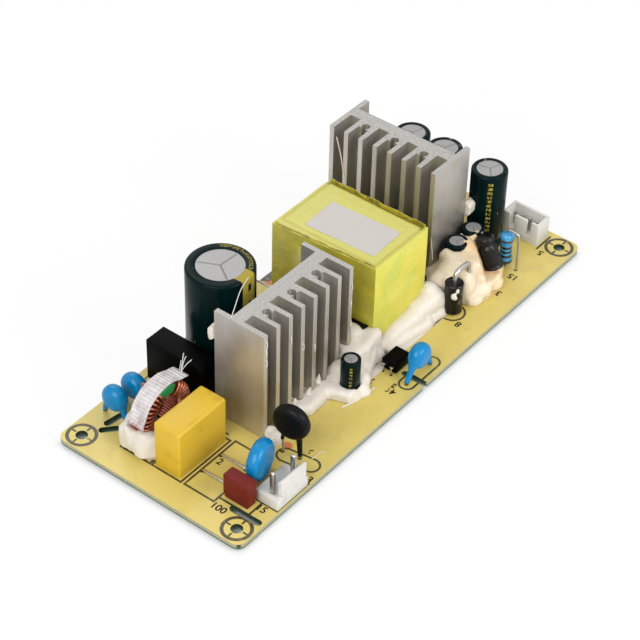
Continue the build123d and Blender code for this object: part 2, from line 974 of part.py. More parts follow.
def transformer_core():
    """Two ferrite halves that meet in the middle of the post and the outer legs."""
    half = core_height / 2
    window = round_block(core_bore_radius, core_back, half) - round_block(post_radius, core_back, half)
    lower = block(0, 0, 0, core_width, core_length, half) - window
    place = Pos(transformer_x, transformer_y, core_stand_off)
    upper = Pos(0, 0, core_height) * Rot(180, 0, 0) * lower
    return [place * lower, place * upper]


def window_low():
    """The bottom of the core's window."""
    return core_stand_off + core_back


def window_high():
    """The top of the core's window."""
    return core_stand_off + core_height - core_back


def rail_top():
    """The top of the pin rails, level with the lower flange of the bobbin."""
    return window_low() + bobbin_clearance + bobbin_flange


def transformer_bobbin():
    """The former on the post, with a pin rail down each open side."""
    low = window_low() + bobbin_clearance
    high = window_high() - bobbin_clearance
    bore = post_radius + bobbin_clearance
    flange_radius = core_bore_radius - bobbin_clearance
    body = round_block(bore + bobbin_wall, low, high)
    body += round_block(flange_radius, low, rail_top())
    body += round_block(flange_radius, high - bobbin_flange, high)
    for side in (-1, 1):
        rail_x = side * (rail_reach - rail_width / 2)
        body += block(rail_x, 0, 0, rail_width, rail_length, rail_top())
    body -= round_block(bore, 0, 2 * high)
    body = Pos(transformer_x, transformer_y, 0) * body
    for x, y in transformer_pin_places():
        body -= upright(x, y, thin_lead, -cut_margin, low / 2, lead_sides)
    return body


def transformer_winding():
    """The wound copper on the former."""
    high = window_high() - bobbin_clearance - bobbin_flange
    inner = post_radius + bobbin_clearance + bobbin_wall
    outer = core_bore_radius - bobbin_clearance - winding_gap
    ring = round_block(outer, rail_top(), high) - round_block(inner, rail_top(), high)
    return Pos(transformer_x, transformer_y, 0) * ring


def tape_block(grow):
    """The space inside the tape: the core, and the winding bulging from its open sides."""
    length = core_length + 2 * grow
    box = block(0, 0, core_stand_off, core_width + 2 * grow, length, core_height + grow)
    middle = (rail_top() + window_high()) / 2
    belly = Cylinder(core_bore_radius + grow, window_high() - rail_top())
    return box + Pos(0, 0, middle) * belly


def transformer_tape():
    """The yellow tape wound round core and winding, open underneath and at the rails."""
    shell = tape_block(tape_thickness) - tape_block(0)
    shell -= block(0, 0, 0, 2 * rail_reach, rail_length + tape_thickness, rail_top())
    return Pos(transformer_x, transformer_y, 0) * shell


def transformer_label():
    """The pale label on top."""
    z = core_stand_off + core_height + tape_thickness + label_thickness / 2
    plate = Box(label_width, label_length, label_thickness)
    place = Pos(transformer_x + label_shift, transformer_y + label_front_shift, z)
    return place * Rot(0, 0, label_turn) * plate


def optocoupler():
    """The four-legged black moulding."""
    body = block(opto_x, opto_y, opto_stand_off, opto_length, opto_width, opto_height)
    return chamfer(body.faces().sort_by(Axis.Z)[-1].edges(), opto_edge)


def optocoupler_legs():
    """Flat legs out of the ends and down."""
    legs = []
    shoulder = opto_stand_off + opto_height / 2
    for x, y in opto_leg_places():
        side = 1 if x > opto_x else -1
        reach = abs(x - opto_x) - opto_length / 2 + opto_leg_thickness / 2
        arm_x = opto_x + side * (opto_length / 2 + reach / 2)
        arm = block(arm_x, y, shoulder, reach, opto_leg_width, opto_leg_thickness)
        height = shoulder - underside
        legs.append(arm + block(x, y, underside, opto_leg_thickness, opto_leg_width / 2, height))
    return legs


def diode():
    """The round black body, standing on end."""
    return drum(diode_x, diode_y, diode_radius, diode_stand_off, diode_stand_off + diode_length)


def diode_leads():
    """One short lead down, and the thick one bent over and down beside it."""
    top = diode_stand_off + diode_length
    crest = top + diode_rise
    end = diode_x + diode_span
    arch = [
        (diode_x, diode_y, top),
        (diode_x, diode_y, crest - diode_bend),
        (diode_x + diode_bend, diode_y, crest),
        (end - diode_bend, diode_y, crest),
        (end, diode_y, crest - diode_bend),
        (end, diode_y, underside),
    ]
    short = upright(diode_x, diode_y, diode_lead, underside, diode_stand_off, wire_sides)
    return [short, bent_wire(arch, diode_lead)]


def rod_choke():
    """A rod choke in a black shrunk sleeve, standing on end."""
    body = drum(rod_x, rod_y, rod_radius, rod_stand_off, rod_stand_off + rod_length)
    return chamfer(body.edges().group_by(Axis.Z)[-1], rod_edge)


def resistor():
    """A dog-bone body standing on end."""
    low = resistor_stand_off
    high = low + resistor_length
    body = drum(resistor_x, resistor_y, resistor_radius, low, high)
    for end in (low, high - resistor_cap_length):
        cap_top = end + resistor_cap_length
        body += drum(resistor_x, resistor_y, resistor_cap_radius, end, cap_top)
    return body


def resistor_leads():
    """The lead from the top bends over and down in front."""
    top = resistor_stand_off + resistor_length
    arch = [
        (resistor_x, resistor_y, top),
        (resistor_x, resistor_y, top + resistor_rise),
        (resistor_x, resistor_y - resistor_span, top + resistor_rise),
        (resistor_x, resistor_y - resistor_span, underside),
    ]
    short = upright(resistor_x, resistor_y, thin_lead, underside, resistor_stand_off, wire_sides)
    return [short, bent_wire(arch, thin_lead)]


def output_header():
    """A shroud open at the top, with two slots in the wall that faces the board."""
    body = block(header_x, header_y, 0, output_header_depth, output_header_length, output_header_height)
    inner_depth = output_header_depth - 2 * output_header_wall
    inner_length = output_header_length - 2 * output_header_wall
    space = output_header_height - output_header_floor
    body -= block(header_x, header_y, output_header_floor, inner_depth, inner_length, space)
    wall_x = header_x - output_header_depth / 2
    for side in (-1, 1):
        y = header_y + side * output_header_slot_spacing / 2
        body -= block(wall_x, y, output_header_floor, 2 * output_header_wall, output_header_slot, space)
    for x, y in lead_places["output_header"][2]:
        height = output_header_floor + 2 * cut_margin
        body -= block(x, y, -cut_margin, output_pin_width, output_pin_width, height)
    return body


def jumper_wires():
    """Bare wires lying along the board."""
    places = lead_places["jumpers"][2]
    wires = []
    for a, b in ((places[0], places[1]), (places[2], places[3])):
        points = [(*a, underside), (*a, jumper_height), (*b, jumper_height), (*b, underside)]
        wires.append(bent_wire(points, jumper_wire))
    return wires


def spread(x, y, length, width, shares):
    """The points of an outline, given as shares of its length and width from a place."""
    return [(x + length * across, y + width * along) for across, along in shares]


def mound(points, height):
    """A poured lump: an outline with its top edge sloped off."""
    body = extrude(make_face(Polyline(*points, points[0])), amount=height)
    return chamfer(body.faces().sort_by(Axis.Z)[-1].edges(), silicone_edge)


def capacitor_space(x, y, diameter):
    """The space that a sleeved capacitor takes."""
    return drum(x, y, diameter / 2 + sleeve_thickness, -cut_margin, bulk_height)


def choke_silicone():
    """White silicone round the foot of the choke."""
    shares = [
        (-0.51, -0.33),
        (-0.43, -0.47),
        (0.45, -0.47),
        (0.49, 0.31),
        (0.32, 0.52),
        (-0.27, 0.53),
        (-0.49, 0.36),
    ]
    outline = spread(choke_x, choke_y, choke_silicone_length, choke_silicone_width, shares)
    body = mound(outline, choke_silicone_height)
    near = choke_y - ring_thickness / 2 - 2 * (wire_radius + wire_clearance)
    far = riser_y() + wire_radius + wire_clearance
    middle = (near + far) / 2
    space = drum(0, 0, paper_radius() + paper_thickness, near - middle, far - middle)
    body -= Pos(choke_x, middle, ring_centre_height) * Rot(90, 0, 0) * space
    foot_length = ring_outer_radius * 1.3
    body -= block(choke_x, middle, -cut_margin, foot_length, far - near, ring_centre_height)
    return body - film_capacitor()


def front_silicone():
    """White silicone between the first heatsink, the control capacitor and the transformer."""
    low_shares = [
        (-0.41, 0.31),
        (-0.415, -0.045),
        (-0.34, -0.27),
        (-0.22, -0.22),
        (-0.19, -0.565),
        (-0.08, -0.63),
        (0.025, -0.385),
        (0.13, -0.255),
        (0.29, -0.27),
        (0.46, -0.4),
        (0.55, -0.3),
        (0.585, 0.02),
        (0.54, 0.37),
        (0.13, 0.37),
    ]
    high_shares = [
        (-0.23, 0.05),
        (-0.25, -0.25),
        (0.13, -0.29),
        (0.62, -0.19),
        (0.75, 0.05),
        (0.39, 0.47),
        (0.065, 0.71),
        (-0.13, 0.41),
    ]
    corner = (primary_right, primary_fins_y)
    low = spread(*corner, front_silicone_length, front_silicone_width, low_shares)
    high = spread(*corner, front_lump_length, front_lump_width, high_shares)
    body = mound(low, front_silicone_height) + mound(high, front_lump_height)
    body -= primary_seat * heatsink(primary_heatsink_height)
    for pin in heatsink_pin_places(primary_seat):
        top = heatsink_pin_height + cut_margin
        body -= upright(*pin, 2 * groove_radius, -cut_margin, top, wire_sides)
    body -= capacitor_space(control_x, control_y, control_diameter)
    core = Pos(transformer_x, transformer_y, 0) * tape_block(tape_thickness)
    foot = block(
        transformer_x,
        transformer_y,
        -cut_margin,
        core_width + 2 * tape_thickness,
        core_length + 2 * tape_thickness,
        core_height,
    )
    body -= core + foot
    rail_space = rail_top() + cut_margin
    body -= block(transformer_x, transformer_y, -cut_margin, 2 * rail_reach, rail_length, rail_space)
    body -= opto_space() + diode_space()
    return max(body.solids(), key=lambda solid: solid.volume)


def opto_space():
    """The space that the optocoupler and its legs take."""
    length = opto_row + opto_leg_width + 2 * opto_clearance
    width = opto_width + 2 * opto_clearance
    return block(opto_x, opto_y, -cut_margin, length, width, front_lump_height + 2 * cut_margin)


def diode_space():
    """The space that the standing diode and its bent lead take."""
    top = diode_stand_off + diode_length
    end = diode_x + diode_span
    space = drum(diode_x, diode_y, diode_radius, -cut_margin, top)
    return space + upright(end, diode_y, diode_lead, -cut_margin, top, wire_sides)


def output_silicone():
    """Cream silicone that holds the diode lead, the rod choke and the small capacitors."""
    low_shares = [
        (-0.575, 0.69),
        (-0.73, 0.5),
        (-0.75, 0.14),
        (-0.62, -0.165),
        (-0.355, -0.285),
        (-0.09, -0.31),
        (0.15, -0.165),
        (0.185, 0.14),
        (0.25, 0.44),
        (0.15, 0.69),
    ]
    high_shares = [
        (-0.465, 0.525),
        (-0.575, 0.14),
        (-0.44, -0.11),
        (-0.155, -0.21),
        (0.105, -0.11),
        (0.16, 0.14),
        (0.16, 0.44),
        (0.065, 0.58),
    ]
    size = (output_silicone_length, output_silicone_width)
    low = spread(rod_x, rod_y, *size, low_shares)
    high = spread(rod_x, rod_y, *size, high_shares)
    body = mound(low, output_silicone_height) + mound(high, output_lump_height)
    body -= secondary_seat * block(
        0,
        (flange_length - plate_thickness - fin_length) / 2,
        -cut_margin,
        heatsink_width,
        heatsink_depth,
        secondary_heatsink_height,
    )
    for cx, cy in small_capacitor_places():
        body -= capacitor_space(cx, cy, small_diameter)
    for cx, cy in output_capacitor_places():
        body -= capacitor_space(cx, cy, output_diameter)
    body -= diode_space()
    body -= front_silicone()
    body -= drum(rod_x, rod_y, rod_radius, -cut_margin, rod_stand_off + rod_length)
    resistor_top = resistor_stand_off + resistor_length
    body -= drum(resistor_x, resistor_y, resistor_cap_radius, -cut_margin, resistor_top)
    return max(body.solids(), key=lambda solid: solid.volume)


def silicone_dabs():
    """Small dabs: on the first heatsink's flange, and from the second to a tall capacitor."""
    flange_x = primary_x - (heatsink_width - fin_thickness) / 2
    hung_y = primary_flange_y + dab_depth / 2
    hung = block(flange_x - dab_length / 12, hung_y, first_dab_low, dab_length, dab_depth, dab_height)
    wall_x = secondary_x + flange_length
    reach = output_x - output_diameter / 2 - wall_x + second_dab_overlap
    middle = wall_x + reach / 2
    bridge = block(middle, secondary_end_y, second_dab_low, reach, second_dab_width, dab_height)
    dabs = [chamfer(dab.edges().filter_by(Axis.X), dab_edge) for dab in (hung, bridge)]
    return [dabs[0], dabs[1] - capacitor_space(output_x, output_front_y, output_diameter)]


def save(name, *shapes):
    """Writes one node, which may hold several separate solids."""
    solids = []
    for shape in shapes:
        for item in shape if isinstance(shape, (list, tuple)) else [shape]:
            solids += item.solids()
    piece = solids[0] if len(solids) == 1 else Compound(solids)
    export_step(piece, f"parts/{name}.step")


os.makedirs("parts", exist_ok=True)
save("circuit_board", board())
save("solder_joints", solder_joints())
save("film_capacitor_case", film_capacitor())
save("film_capacitor_leads", leads("film", 0))
save("choke_core", choke_core())
save("choke_winding_left", choke_winding(1))
save("choke_winding_right", choke_winding(-1))
save("choke_paper_band", choke_paper())
save("safety_capacitors", safety_capacitors())
save(
    "safety_capacitor_leads",
    leads("first_safety", safety_leg_low),
    leads("second_safety", safety_leg_low),
    leads("output_safety", safety_leg_low),
)
save("fuse_cap", fuse_cap())
save("fuse_base", fuse_base())
save("fuse_leads", leads("fuse", 0))
save("mains_header_body", mains_header())
save("mains_header_pins", square_pins("mains_header", mains_pin_width, mains_pin_top))
save("varistor_body", varistor())
save("varistor_leads", leads("varistor", varistor_leg_low))
save("thermistor_body", thermistor())
save("thermistor_leads", leads("thermistor", thermistor_leg_low))
save("bridge_rectifier_body", bridge_rectifier())
save("bridge_rectifier_leads", leads("bridge", bridge_bottom))
save("primary_heatsink", primary_seat * heatsink(primary_heatsink_height))
save("secondary_heatsink", secondary_seat * heatsink(secondary_heatsink_height))
save("heatsink_pins", heatsink_pins())
save("insulating_pads", primary_seat * device_pad(), secondary_seat * device_pad())
save("heatsink_screws", primary_seat * device_screw(), secondary_seat * device_screw())
save("switch_transistor_case", primary_seat * device_case())
save("switch_transistor_tab", primary_seat * device_tab())
save("switch_transistor_legs", [primary_seat * leg for leg in device_legs()])
save("output_rectifier_case", secondary_seat * device_case())
save("output_rectifier_tab", secondary_seat * device_tab())
save("output_rectifier_legs", [secondary_seat * leg for leg in device_legs()])
save("capacitor_sleeves", every_capacitor(sleeved_can))
save("capacitor_can_tops", every_capacitor(can_top))
save(
    "capacitor_leads",
    leads("bulk", 0),
    leads("output_capacitors", 0),
    leads("small_capacitors", 0),
    leads("control", 0),
)
save("transformer_core", transformer_core())
save("transformer_bobbin", transformer_bobbin())
save("transformer_winding", transformer_winding())
save("transformer_tape", transformer_tape())
save("transformer_label", transformer_label())
save("transformer_pins", leads("transformer", (window_low() + bobbin_clearance) / 2))
save("optocoupler_body", optocoupler())
save("optocoupler_legs", optocoupler_legs())
save("standing_diode_body", diode())
save("standing_diode_leads", diode_leads())
save("rod_choke_core", rod_choke())
save("rod_choke_leads", leads("rod", rod_stand_off))
save("standing_resistor_body", resistor())
save("standing_resistor_leads", resistor_leads())
save("output_header_body", output_header())
save("output_header_pins", square_pins("output_header", output_pin_width, output_pin_top))
save("jumper_wires", jumper_wires())
save("choke_silicone", choke_silicone())
save("front_silicone", front_silicone())
save("output_silicone", output_silicone())
save("silicone_dabs", silicone_dabs())
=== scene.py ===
from math import cos, pi, radians, sin, sqrt

import bpy
from mathutils import Matrix, Vector


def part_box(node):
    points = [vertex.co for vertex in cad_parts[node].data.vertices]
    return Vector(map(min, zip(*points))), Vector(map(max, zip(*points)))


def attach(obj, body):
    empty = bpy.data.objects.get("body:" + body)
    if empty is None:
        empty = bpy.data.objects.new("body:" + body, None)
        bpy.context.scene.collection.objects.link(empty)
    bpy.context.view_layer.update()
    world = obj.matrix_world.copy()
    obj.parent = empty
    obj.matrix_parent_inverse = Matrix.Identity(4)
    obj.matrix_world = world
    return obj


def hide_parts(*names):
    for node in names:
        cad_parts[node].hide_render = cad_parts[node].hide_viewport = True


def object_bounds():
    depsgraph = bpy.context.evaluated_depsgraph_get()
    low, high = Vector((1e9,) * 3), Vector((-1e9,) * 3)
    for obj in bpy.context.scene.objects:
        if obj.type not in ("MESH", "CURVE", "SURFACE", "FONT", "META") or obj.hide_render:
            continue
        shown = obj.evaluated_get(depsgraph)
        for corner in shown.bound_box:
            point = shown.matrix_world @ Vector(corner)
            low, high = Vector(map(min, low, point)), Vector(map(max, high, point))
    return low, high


bl_info = {
    "name": "Open-Frame Power Supply",
    "version": (1, 0, 0),
    "blender": (4, 5, 0),
    "location": "View3D > Sidebar > Power Supply",
    "description": "Models and paints the finished pieces of an open-frame power supply",
    "category": "Object",
}

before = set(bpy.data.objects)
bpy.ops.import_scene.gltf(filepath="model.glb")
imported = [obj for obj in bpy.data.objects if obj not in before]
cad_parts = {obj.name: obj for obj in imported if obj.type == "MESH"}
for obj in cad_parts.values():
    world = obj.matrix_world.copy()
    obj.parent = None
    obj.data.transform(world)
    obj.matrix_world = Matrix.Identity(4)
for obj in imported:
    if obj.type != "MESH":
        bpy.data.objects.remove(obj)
CAD_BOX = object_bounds()
MM = 0.001
# Lengths in millimetres
UNDERSIDE = -1.6  # where the board ends below, with its top at 0
DOUBLES = 0.002  # points nearer than this are merged
FIN_PITCH = 4.87  # from one fin of the first heatsink to the next
BULK_RADIUS = 8  # only the largest capacitor's is larger
INK_EDGE = 0.12  # over which a printed line fades
PAINTED_SHADOW_SPOT = (8.0, 29.8)  # painted shadow at the back edge, beside the second heatsink
RED_MARKS = ((-40.5, -16.8, 2.0, 1.6), (6.2, 27.4, 1.4, 1.8))  # place, size and softness


def tone(red, green, blue):
    """A screen colour from 0 to 255 as the linear colour that a shader takes."""
    scaled = [c / 255 for c in (red, green, blue)]
    return tuple(c / 12.92 if c <= 0.04045 else ((c + 0.055) / 1.055) ** 2.4 for c in scaled)


def colour(name, default, description):
    """A colour that a user can change."""
    return bpy.props.FloatVectorProperty(
        name=name, description=description, subtype="COLOR", default=default, min=0, max=1
    )


def number(name, default, description, low, high, subtype="NONE"):
    """A number that a user can change, from its least to its most."""
    return bpy.props.FloatProperty(
        name=name, description=description, default=default, min=low, max=high, subtype=subtype
    )


# Shaders


class Value:
    """A value on its way through a shader, with Python's operators for its maths."""

    def __init__(self, nodes, socket):
        self.nodes = nodes
        self.socket = socket

    def math(self, operation, *others, clamp=False):
        """One of the Math node's operations."""
        settings = {"operation": operation, "use_clamp": clamp}
        return self.nodes.node("ShaderNodeMath", settings, [self, *others])

    def __add__(self, other):
        return self.math("ADD", other)

    __radd__ = __add__

    def __mul__(self, other):
        return self.math("MULTIPLY", other)

    __rmul__ = __mul__

    def __sub__(self, other):
        return self.math("SUBTRACT", other)

    def __rsub__(self, other):
        return self.nodes.node("ShaderNodeMath", {"operation": "SUBTRACT"}, [other, self])

    def __truediv__(self, other):
        return self.math("DIVIDE", other)

    def __abs__(self):
        return self.math("ABSOLUTE")

    def __pow__(self, other):
        return self.math("POWER", other)

    def __or__(self, other):
        """The larger of two masks."""
        return self.math("MAXIMUM", other)

    def __and__(self, other):
        """The smaller of two masks."""
        return self.math("MINIMUM", other)

    def above(self, limit, soft):
        """1 above a limit and 0 below it, over a soft step."""
        return ((self - limit) / soft).math("ADD", 0.5, clamp=True)

    def below(self, limit, soft):
        """1 below a limit and 0 above it, over a soft step."""
        return ((limit - self) / soft).math("ADD", 0.5, clamp=True)

    def between(self, low, high, soft):
        """1 between two limits, with soft sides."""
        return abs(self - (low + high) / 2).below((high - low) / 2, soft)


class Nodes:
    """The nodes of a material or of the world."""

    def __init__(self, owner):
        owner.use_nodes = True
        self.tree = owner.node_tree

    def node(self, kind, settings=None, sockets=None, output=0):
        """Any node, with its settings first and then its sockets' values or links."""
        node = self.tree.nodes.new(kind)
        for name, value in (settings or {}).items():
            setattr(node, name, value)
        pairs = sockets.items() if isinstance(sockets, dict) else enumerate(sockets or [])
        for key, value in pairs:
            self.feed(node.inputs[key], value)
        return Value(self, node.outputs[output])

    def feed(self, socket, value):
        """Links a value to a socket, or sets the socket."""
        if isinstance(value, Value):
            self.tree.links.new(value.socket, socket)
        elif socket.type == "RGBA":
            socket.default_value = (*value, 1.0)
        else:
            socket.default_value = value

    def ray(self, kind):
        """1 on a kind of ray, such as the camera's."""
        return self.node("ShaderNodeLightPath", output=f"Is {kind} Ray")


class Finish(Nodes):
    """One material, built from its shader's nodes."""

    def __init__(self, name, **sockets):
        self.material = bpy.data.materials.new(name)
        super().__init__(self.material)
        self.shader = self.tree.nodes["Principled BSDF"]
        self.set(**sockets)

    def set(self, **sockets):
        """Sets the main shader's sockets, named with underscores for spaces."""
        for name, value in sockets.items():
            self.feed(self.shader.inputs[name.replace("_", " ")], value)

    def place(self):
        """The point on the piece, in its own coordinates."""
        return self.node("ShaderNodeTexCoord", output="Object")

    def parts(self, vector):
        """A vector's x, y and z."""
        node = self.tree.nodes.new("ShaderNodeSeparateXYZ")
        self.feed(node.inputs[0], vector)
        return [Value(self, output) for output in node.outputs]

    def axes(self):
        """The point's x, y and z in millimetres."""
        sockets = [self.place(), (1 / MM, 1 / MM, 1 / MM)]
        return self.parts(self.node("ShaderNodeVectorMath", {"operation": "MULTIPLY"}, sockets))

    def facing(self):
        """The surface normal's x, y and z."""
        return self.parts(self.node("ShaderNodeTexCoord", output="Normal"))

    def noise(self, size, detail=3.0, rough=0.55, stretch=(1, 1, 1), shift=0.0):
        """Noise with features of about a size in millimetres, longer where stretch is larger."""
        scale = tuple(1 / (size * MM * s) for s in stretch)
        sockets = {"Vector": self.place(), "Location": (shift, shift, shift), "Scale": scale}
        turned = self.node("ShaderNodeMapping", None, sockets)
        sockets = {"Vector": turned, "Scale": 1.0, "Detail": detail, "Roughness": rough}
        return self.node("ShaderNodeTexNoise", None, sockets)

    def mix(self, factor, first, second):
        """A colour between two."""
        sockets = {0: factor, 6: first, 7: second}
        return self.node("ShaderNodeMix", {"data_type": "RGBA"}, sockets, output=2)

    def layers(self, base, *coats):
        """A colour with coats laid over it, each through its own mask."""
        for mask, shade in coats:
            base = self.mix(mask, base, shade)
        return base

    def uneven(self, mask, shade, share):
        """A colour, scaled towards black where its mask is low."""
        return self.mix(mask, darker(shade, share), shade)

    def bump(self, height, depth):
        """Relief of a depth in millimetres from a height of 0 to 1."""
        sockets = {"Height": height, "Distance": depth * MM}
        self.set(Normal=self.node("ShaderNodeBump", None, sockets))


def any_of(masks):
    """One mask that shows where any of several does."""
    whole = masks[0]
    for mask in masks[1:]:
        whole = whole | mask
    return whole


def darker(shade, share):
    """A colour scaled towards black."""
    return tuple(c * share for c in shade)


def blended(first, second, share):
    """A colour between two, worked out once."""
    return tuple(a + (b - a) * share for a, b in zip(first, second))


def plastic(name, shade, rough=0.35, grain=0.4, depth=0.02, dirt=0.25, dirt_shade=None, shine=0.3):
    """Moulded or cast plastic: a fine skin, slightly uneven gloss and some handling dirt."""
    finish = Finish(name, Specular_IOR_Level=shine)
    soil = finish.noise(4.0, 5.0, 0.6).above(0.62, 0.12)
    cloud = finish.noise(9.0, 2.0)
    base = finish.uneven(cloud, shade, 0.9)
    finish.set(Base_Color=finish.mix(soil * dirt, base, dirt_shade or darker(shade, 0.5)))
    finish.set(Roughness=rough + (cloud - 0.5) * 0.18 + soil * 0.15)
    finish.bump(finish.noise(grain, 3.0, 0.6), depth)
    return finish.material


def metal(name, shade, rough=0.3, size=1.5, dull=0.2):
    """Bare metal with a tarnish that varies over the surface."""
    finish = Finish(name, Metallic=1.0)
    cloud = finish.noise(size, 4.0, 0.6)
    finish.set(Base_Color=finish.uneven(cloud, shade, 1 - dull))
    finish.set(Roughness=rough + (cloud - 0.5) * 0.3)
    finish.bump(finish.noise(size * 0.3, 3.0), 0.02)
    return finish.material


# Modelling by hand, in millimetres


def heading(turn):
    """The x and y of a direction, turned by degrees from the x axis."""
    return cos(radians(turn)), sin(radians(turn))


def free():
    """Leaves edit mode with nothing selected."""
    if bpy.context.object and bpy.context.object.mode != "OBJECT":
        bpy.ops.object.mode_set(mode="OBJECT")
    bpy.ops.object.select_all(action="DESELECT")


def hold(piece):
    """Selects one piece alone and makes it active."""
    free()
    piece.select_set(True)
    bpy.context.view_layer.objects.active = piece


def edit(piece):
    """Goes into edit mode on a piece, with all of it selected."""
    hold(piece)
    bpy.ops.object.mode_set(mode="EDIT")
    bpy.ops.mesh.select_all(action="SELECT")


def settle(piece):
    """Moves a piece's place and turn into its mesh."""
    hold(piece)
    bpy.ops.object.transform_apply(location=True, rotation=True, scale=True)
    return piece


def named(name):
    """Names the piece that an operator has just made."""
    piece = bpy.context.object
    piece.name = name
    piece.data.name = name
    return piece


def added(name, data):
    """A new object round a mesh or curve."""
    piece = bpy.data.objects.new(name, data)
    bpy.context.scene.collection.objects.link(piece)
    return piece


def modify(piece, kind, **settings):
    """Adds a modifier and applies it."""
    hold(piece)
    modifier = piece.modifiers.new(kind.title(), kind)
    for name, value in settings.items():
        setattr(modifier, name, value)
    bpy.ops.object.modifier_apply(modifier=modifier.name)
    return piece


def rounded(piece, width, segments=2, angle=32):
    """Rounds a piece's sharp edges."""
    limit = {"limit_method": "ANGLE", "angle_limit": radians(angle)}
    return smooth(modify(piece, "BEVEL", width=width * MM, segments=segments, **limit))


def smooth(piece, angle=34):
    """Shades a piece smooth, apart from its sharp edges."""
    hold(piece)
    bpy.ops.object.shade_smooth_by_angle(angle=radians(angle))
    return piece


def soft(piece):
    """Shades a piece smooth all over."""
    hold(piece)
    bpy.ops.object.shade_smooth()
    return piece


def merged_copy(name, node):
    """A copy of a CAD node with whole flat faces, ready to be finished."""
    piece = added(name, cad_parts[node].data.copy())
    piece.data.name = name
    piece.data.materials.clear()
    edit(piece)
    bpy.ops.mesh.remove_doubles(threshold=DOUBLES * MM)
    bpy.ops.mesh.dissolve_limited(angle_limit=radians(0.8))
    free()
    return piece


def together(name, pieces):
    """Joins pieces into one."""
    free()
    for piece in pieces:
        piece.select_set(True)
    bpy.context.view_layer.objects.active = pieces[0]
    if len(pieces) > 1:
        bpy.ops.object.join()
    joined = named(name)
    free()
    return joined


def turned(name, profile, x=0.0, y=0.0, steps=64):
    """A turned piece: points of radius and height, spun round an upright axis."""
    mesh = bpy.data.meshes.new(name)
    points = [((x + radius) * MM, y * MM, z * MM) for radius, z in profile]
    mesh.from_pydata(points, [(i, i + 1) for i in range(len(points) - 1)], [])
    piece = added(name, mesh)
    edit(piece)
    bpy.ops.mesh.spin(
        steps=steps, angle=2 * pi, center=(x * MM, y * MM, 0), axis=(0, 0, 1), use_auto_merge=True
    )
    edit(piece)
    bpy.ops.mesh.remove_doubles(threshold=DOUBLES * MM)
    bpy.ops.mesh.normals_make_consistent(inside=False)
    free()
    return piece


def ball(place, radius, squash=1.0):
    """A lump of silicone or coating to be melted into others."""
    free()
    bpy.ops.mesh.primitive_ico_sphere_add(
        subdivisions=3, radius=radius * MM, location=[v * MM for v in place]
    )
    lump = bpy.context.object
    lump.scale = (1, 1, squash)
    return settle(lump)


def tapered(foot, head, foot_radius, head_radius):
    """A round bar between two points, with a radius at each."""
    free()
    run = (Vector(head) - Vector(foot)) * MM
    bpy.ops.mesh.primitive_cone_add(
        vertices=20,
        radius1=foot_radius * MM,
        radius2=head_radius * MM,
        depth=run.length,
        location=Vector(foot) * MM + run / 2,
        rotation=run.to_track_quat("Z", "Y").to_euler(),
    )
    return settle(bpy.context.object)


def crumpled(piece, depth, size, **settings):
    """Pushes a piece's surface in and out a little."""
    relief = bpy.data.textures.new(piece.name, "CLOUDS")
    relief.noise_scale = size * MM
    for name, value in settings.items():
        setattr(relief, name, value)
    return modify(piece, "DISPLACE", texture=relief, texture_coords="LOCAL", strength=depth * MM)


def melted(piece, voxel, rounds=8, lumps=0.0, lump_size=3.0):
    """Melts overlapping solids into one skin, and gives it soft lumps."""
    modify(piece, "REMESH", mode="VOXEL", voxel_size=voxel * MM)
    modify(piece, "SMOOTH", factor=0.5, iterations=rounds)
    if lumps:
        crumpled(piece, lumps, lump_size, noise_depth=2)
    return soft(piece)


def followed(name, points, kind="NURBS", **settings):
    """A mesh made from a curve that follows its points."""
    curve = bpy.data.curves.new(name, "CURVE")
    for setting, value in settings.items():
        setattr(curve, setting, value)
    spline = curve.splines.new(kind)
    spline.points.add(len(points) - 1)
    for point, place in zip(spline.points, points):
        point.co = (*(v * MM for v in place), 1.0)
    if kind == "NURBS":
        spline.order_u = 3
        spline.use_endpoint_u = True
    hold(added(name, curve))
    bpy.ops.object.convert(target="MESH")
    return named(name)


def wire(name, points, radius, kind="NURBS", sides=3):
    """A round wire that follows its points."""
    section = {"bevel_depth": radius * MM, "bevel_resolution": sides, "use_fill_caps": True}
    return soft(followed(name, points, kind, dimensions="3D", resolution_u=8, **section))


def ribbon(name, points, half_width, thickness):
    """A strip of foil or tape that follows its points, standing on edge along Z."""
    flat = [(x, y, 0) for x, y in points]
    strip = followed(name, flat, dimensions="2D", extrude=half_width * MM, resolution_u=6)
    return modify(strip, "SOLIDIFY", thickness=thickness * MM, offset=0)


def shown(piece, material, slot, *nodes):
    """Paints a piece, rides it on the module and lets it stand for its CAD nodes."""
    piece.data.materials.clear()
    piece.data.materials.append(material)
    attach(piece, "root")
    if nodes:
        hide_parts(*nodes)
    return piece


def finished(node, material, slot, edge, segments=2, angle=32):
    """A copy of a CAD node with rounded edges, which stands for that node."""
    piece = rounded(merged_copy(f"{node}_finished", node), edge, segments, angle)
    return shown(piece, material, slot, node)


def paint_node(node, material):
    """Gives a CAD node its finish."""
    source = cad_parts[node]
    source.data.materials.clear()
    source.data.materials.append(material)


def box(node):
    """A node's lowest and highest corner in millimetres."""
    low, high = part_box(node)
    return low / MM, high / MM


def middle(node):
    """The middle of a node's box in millimetres."""
    low, high = box(node)
    return (low + high) / 2


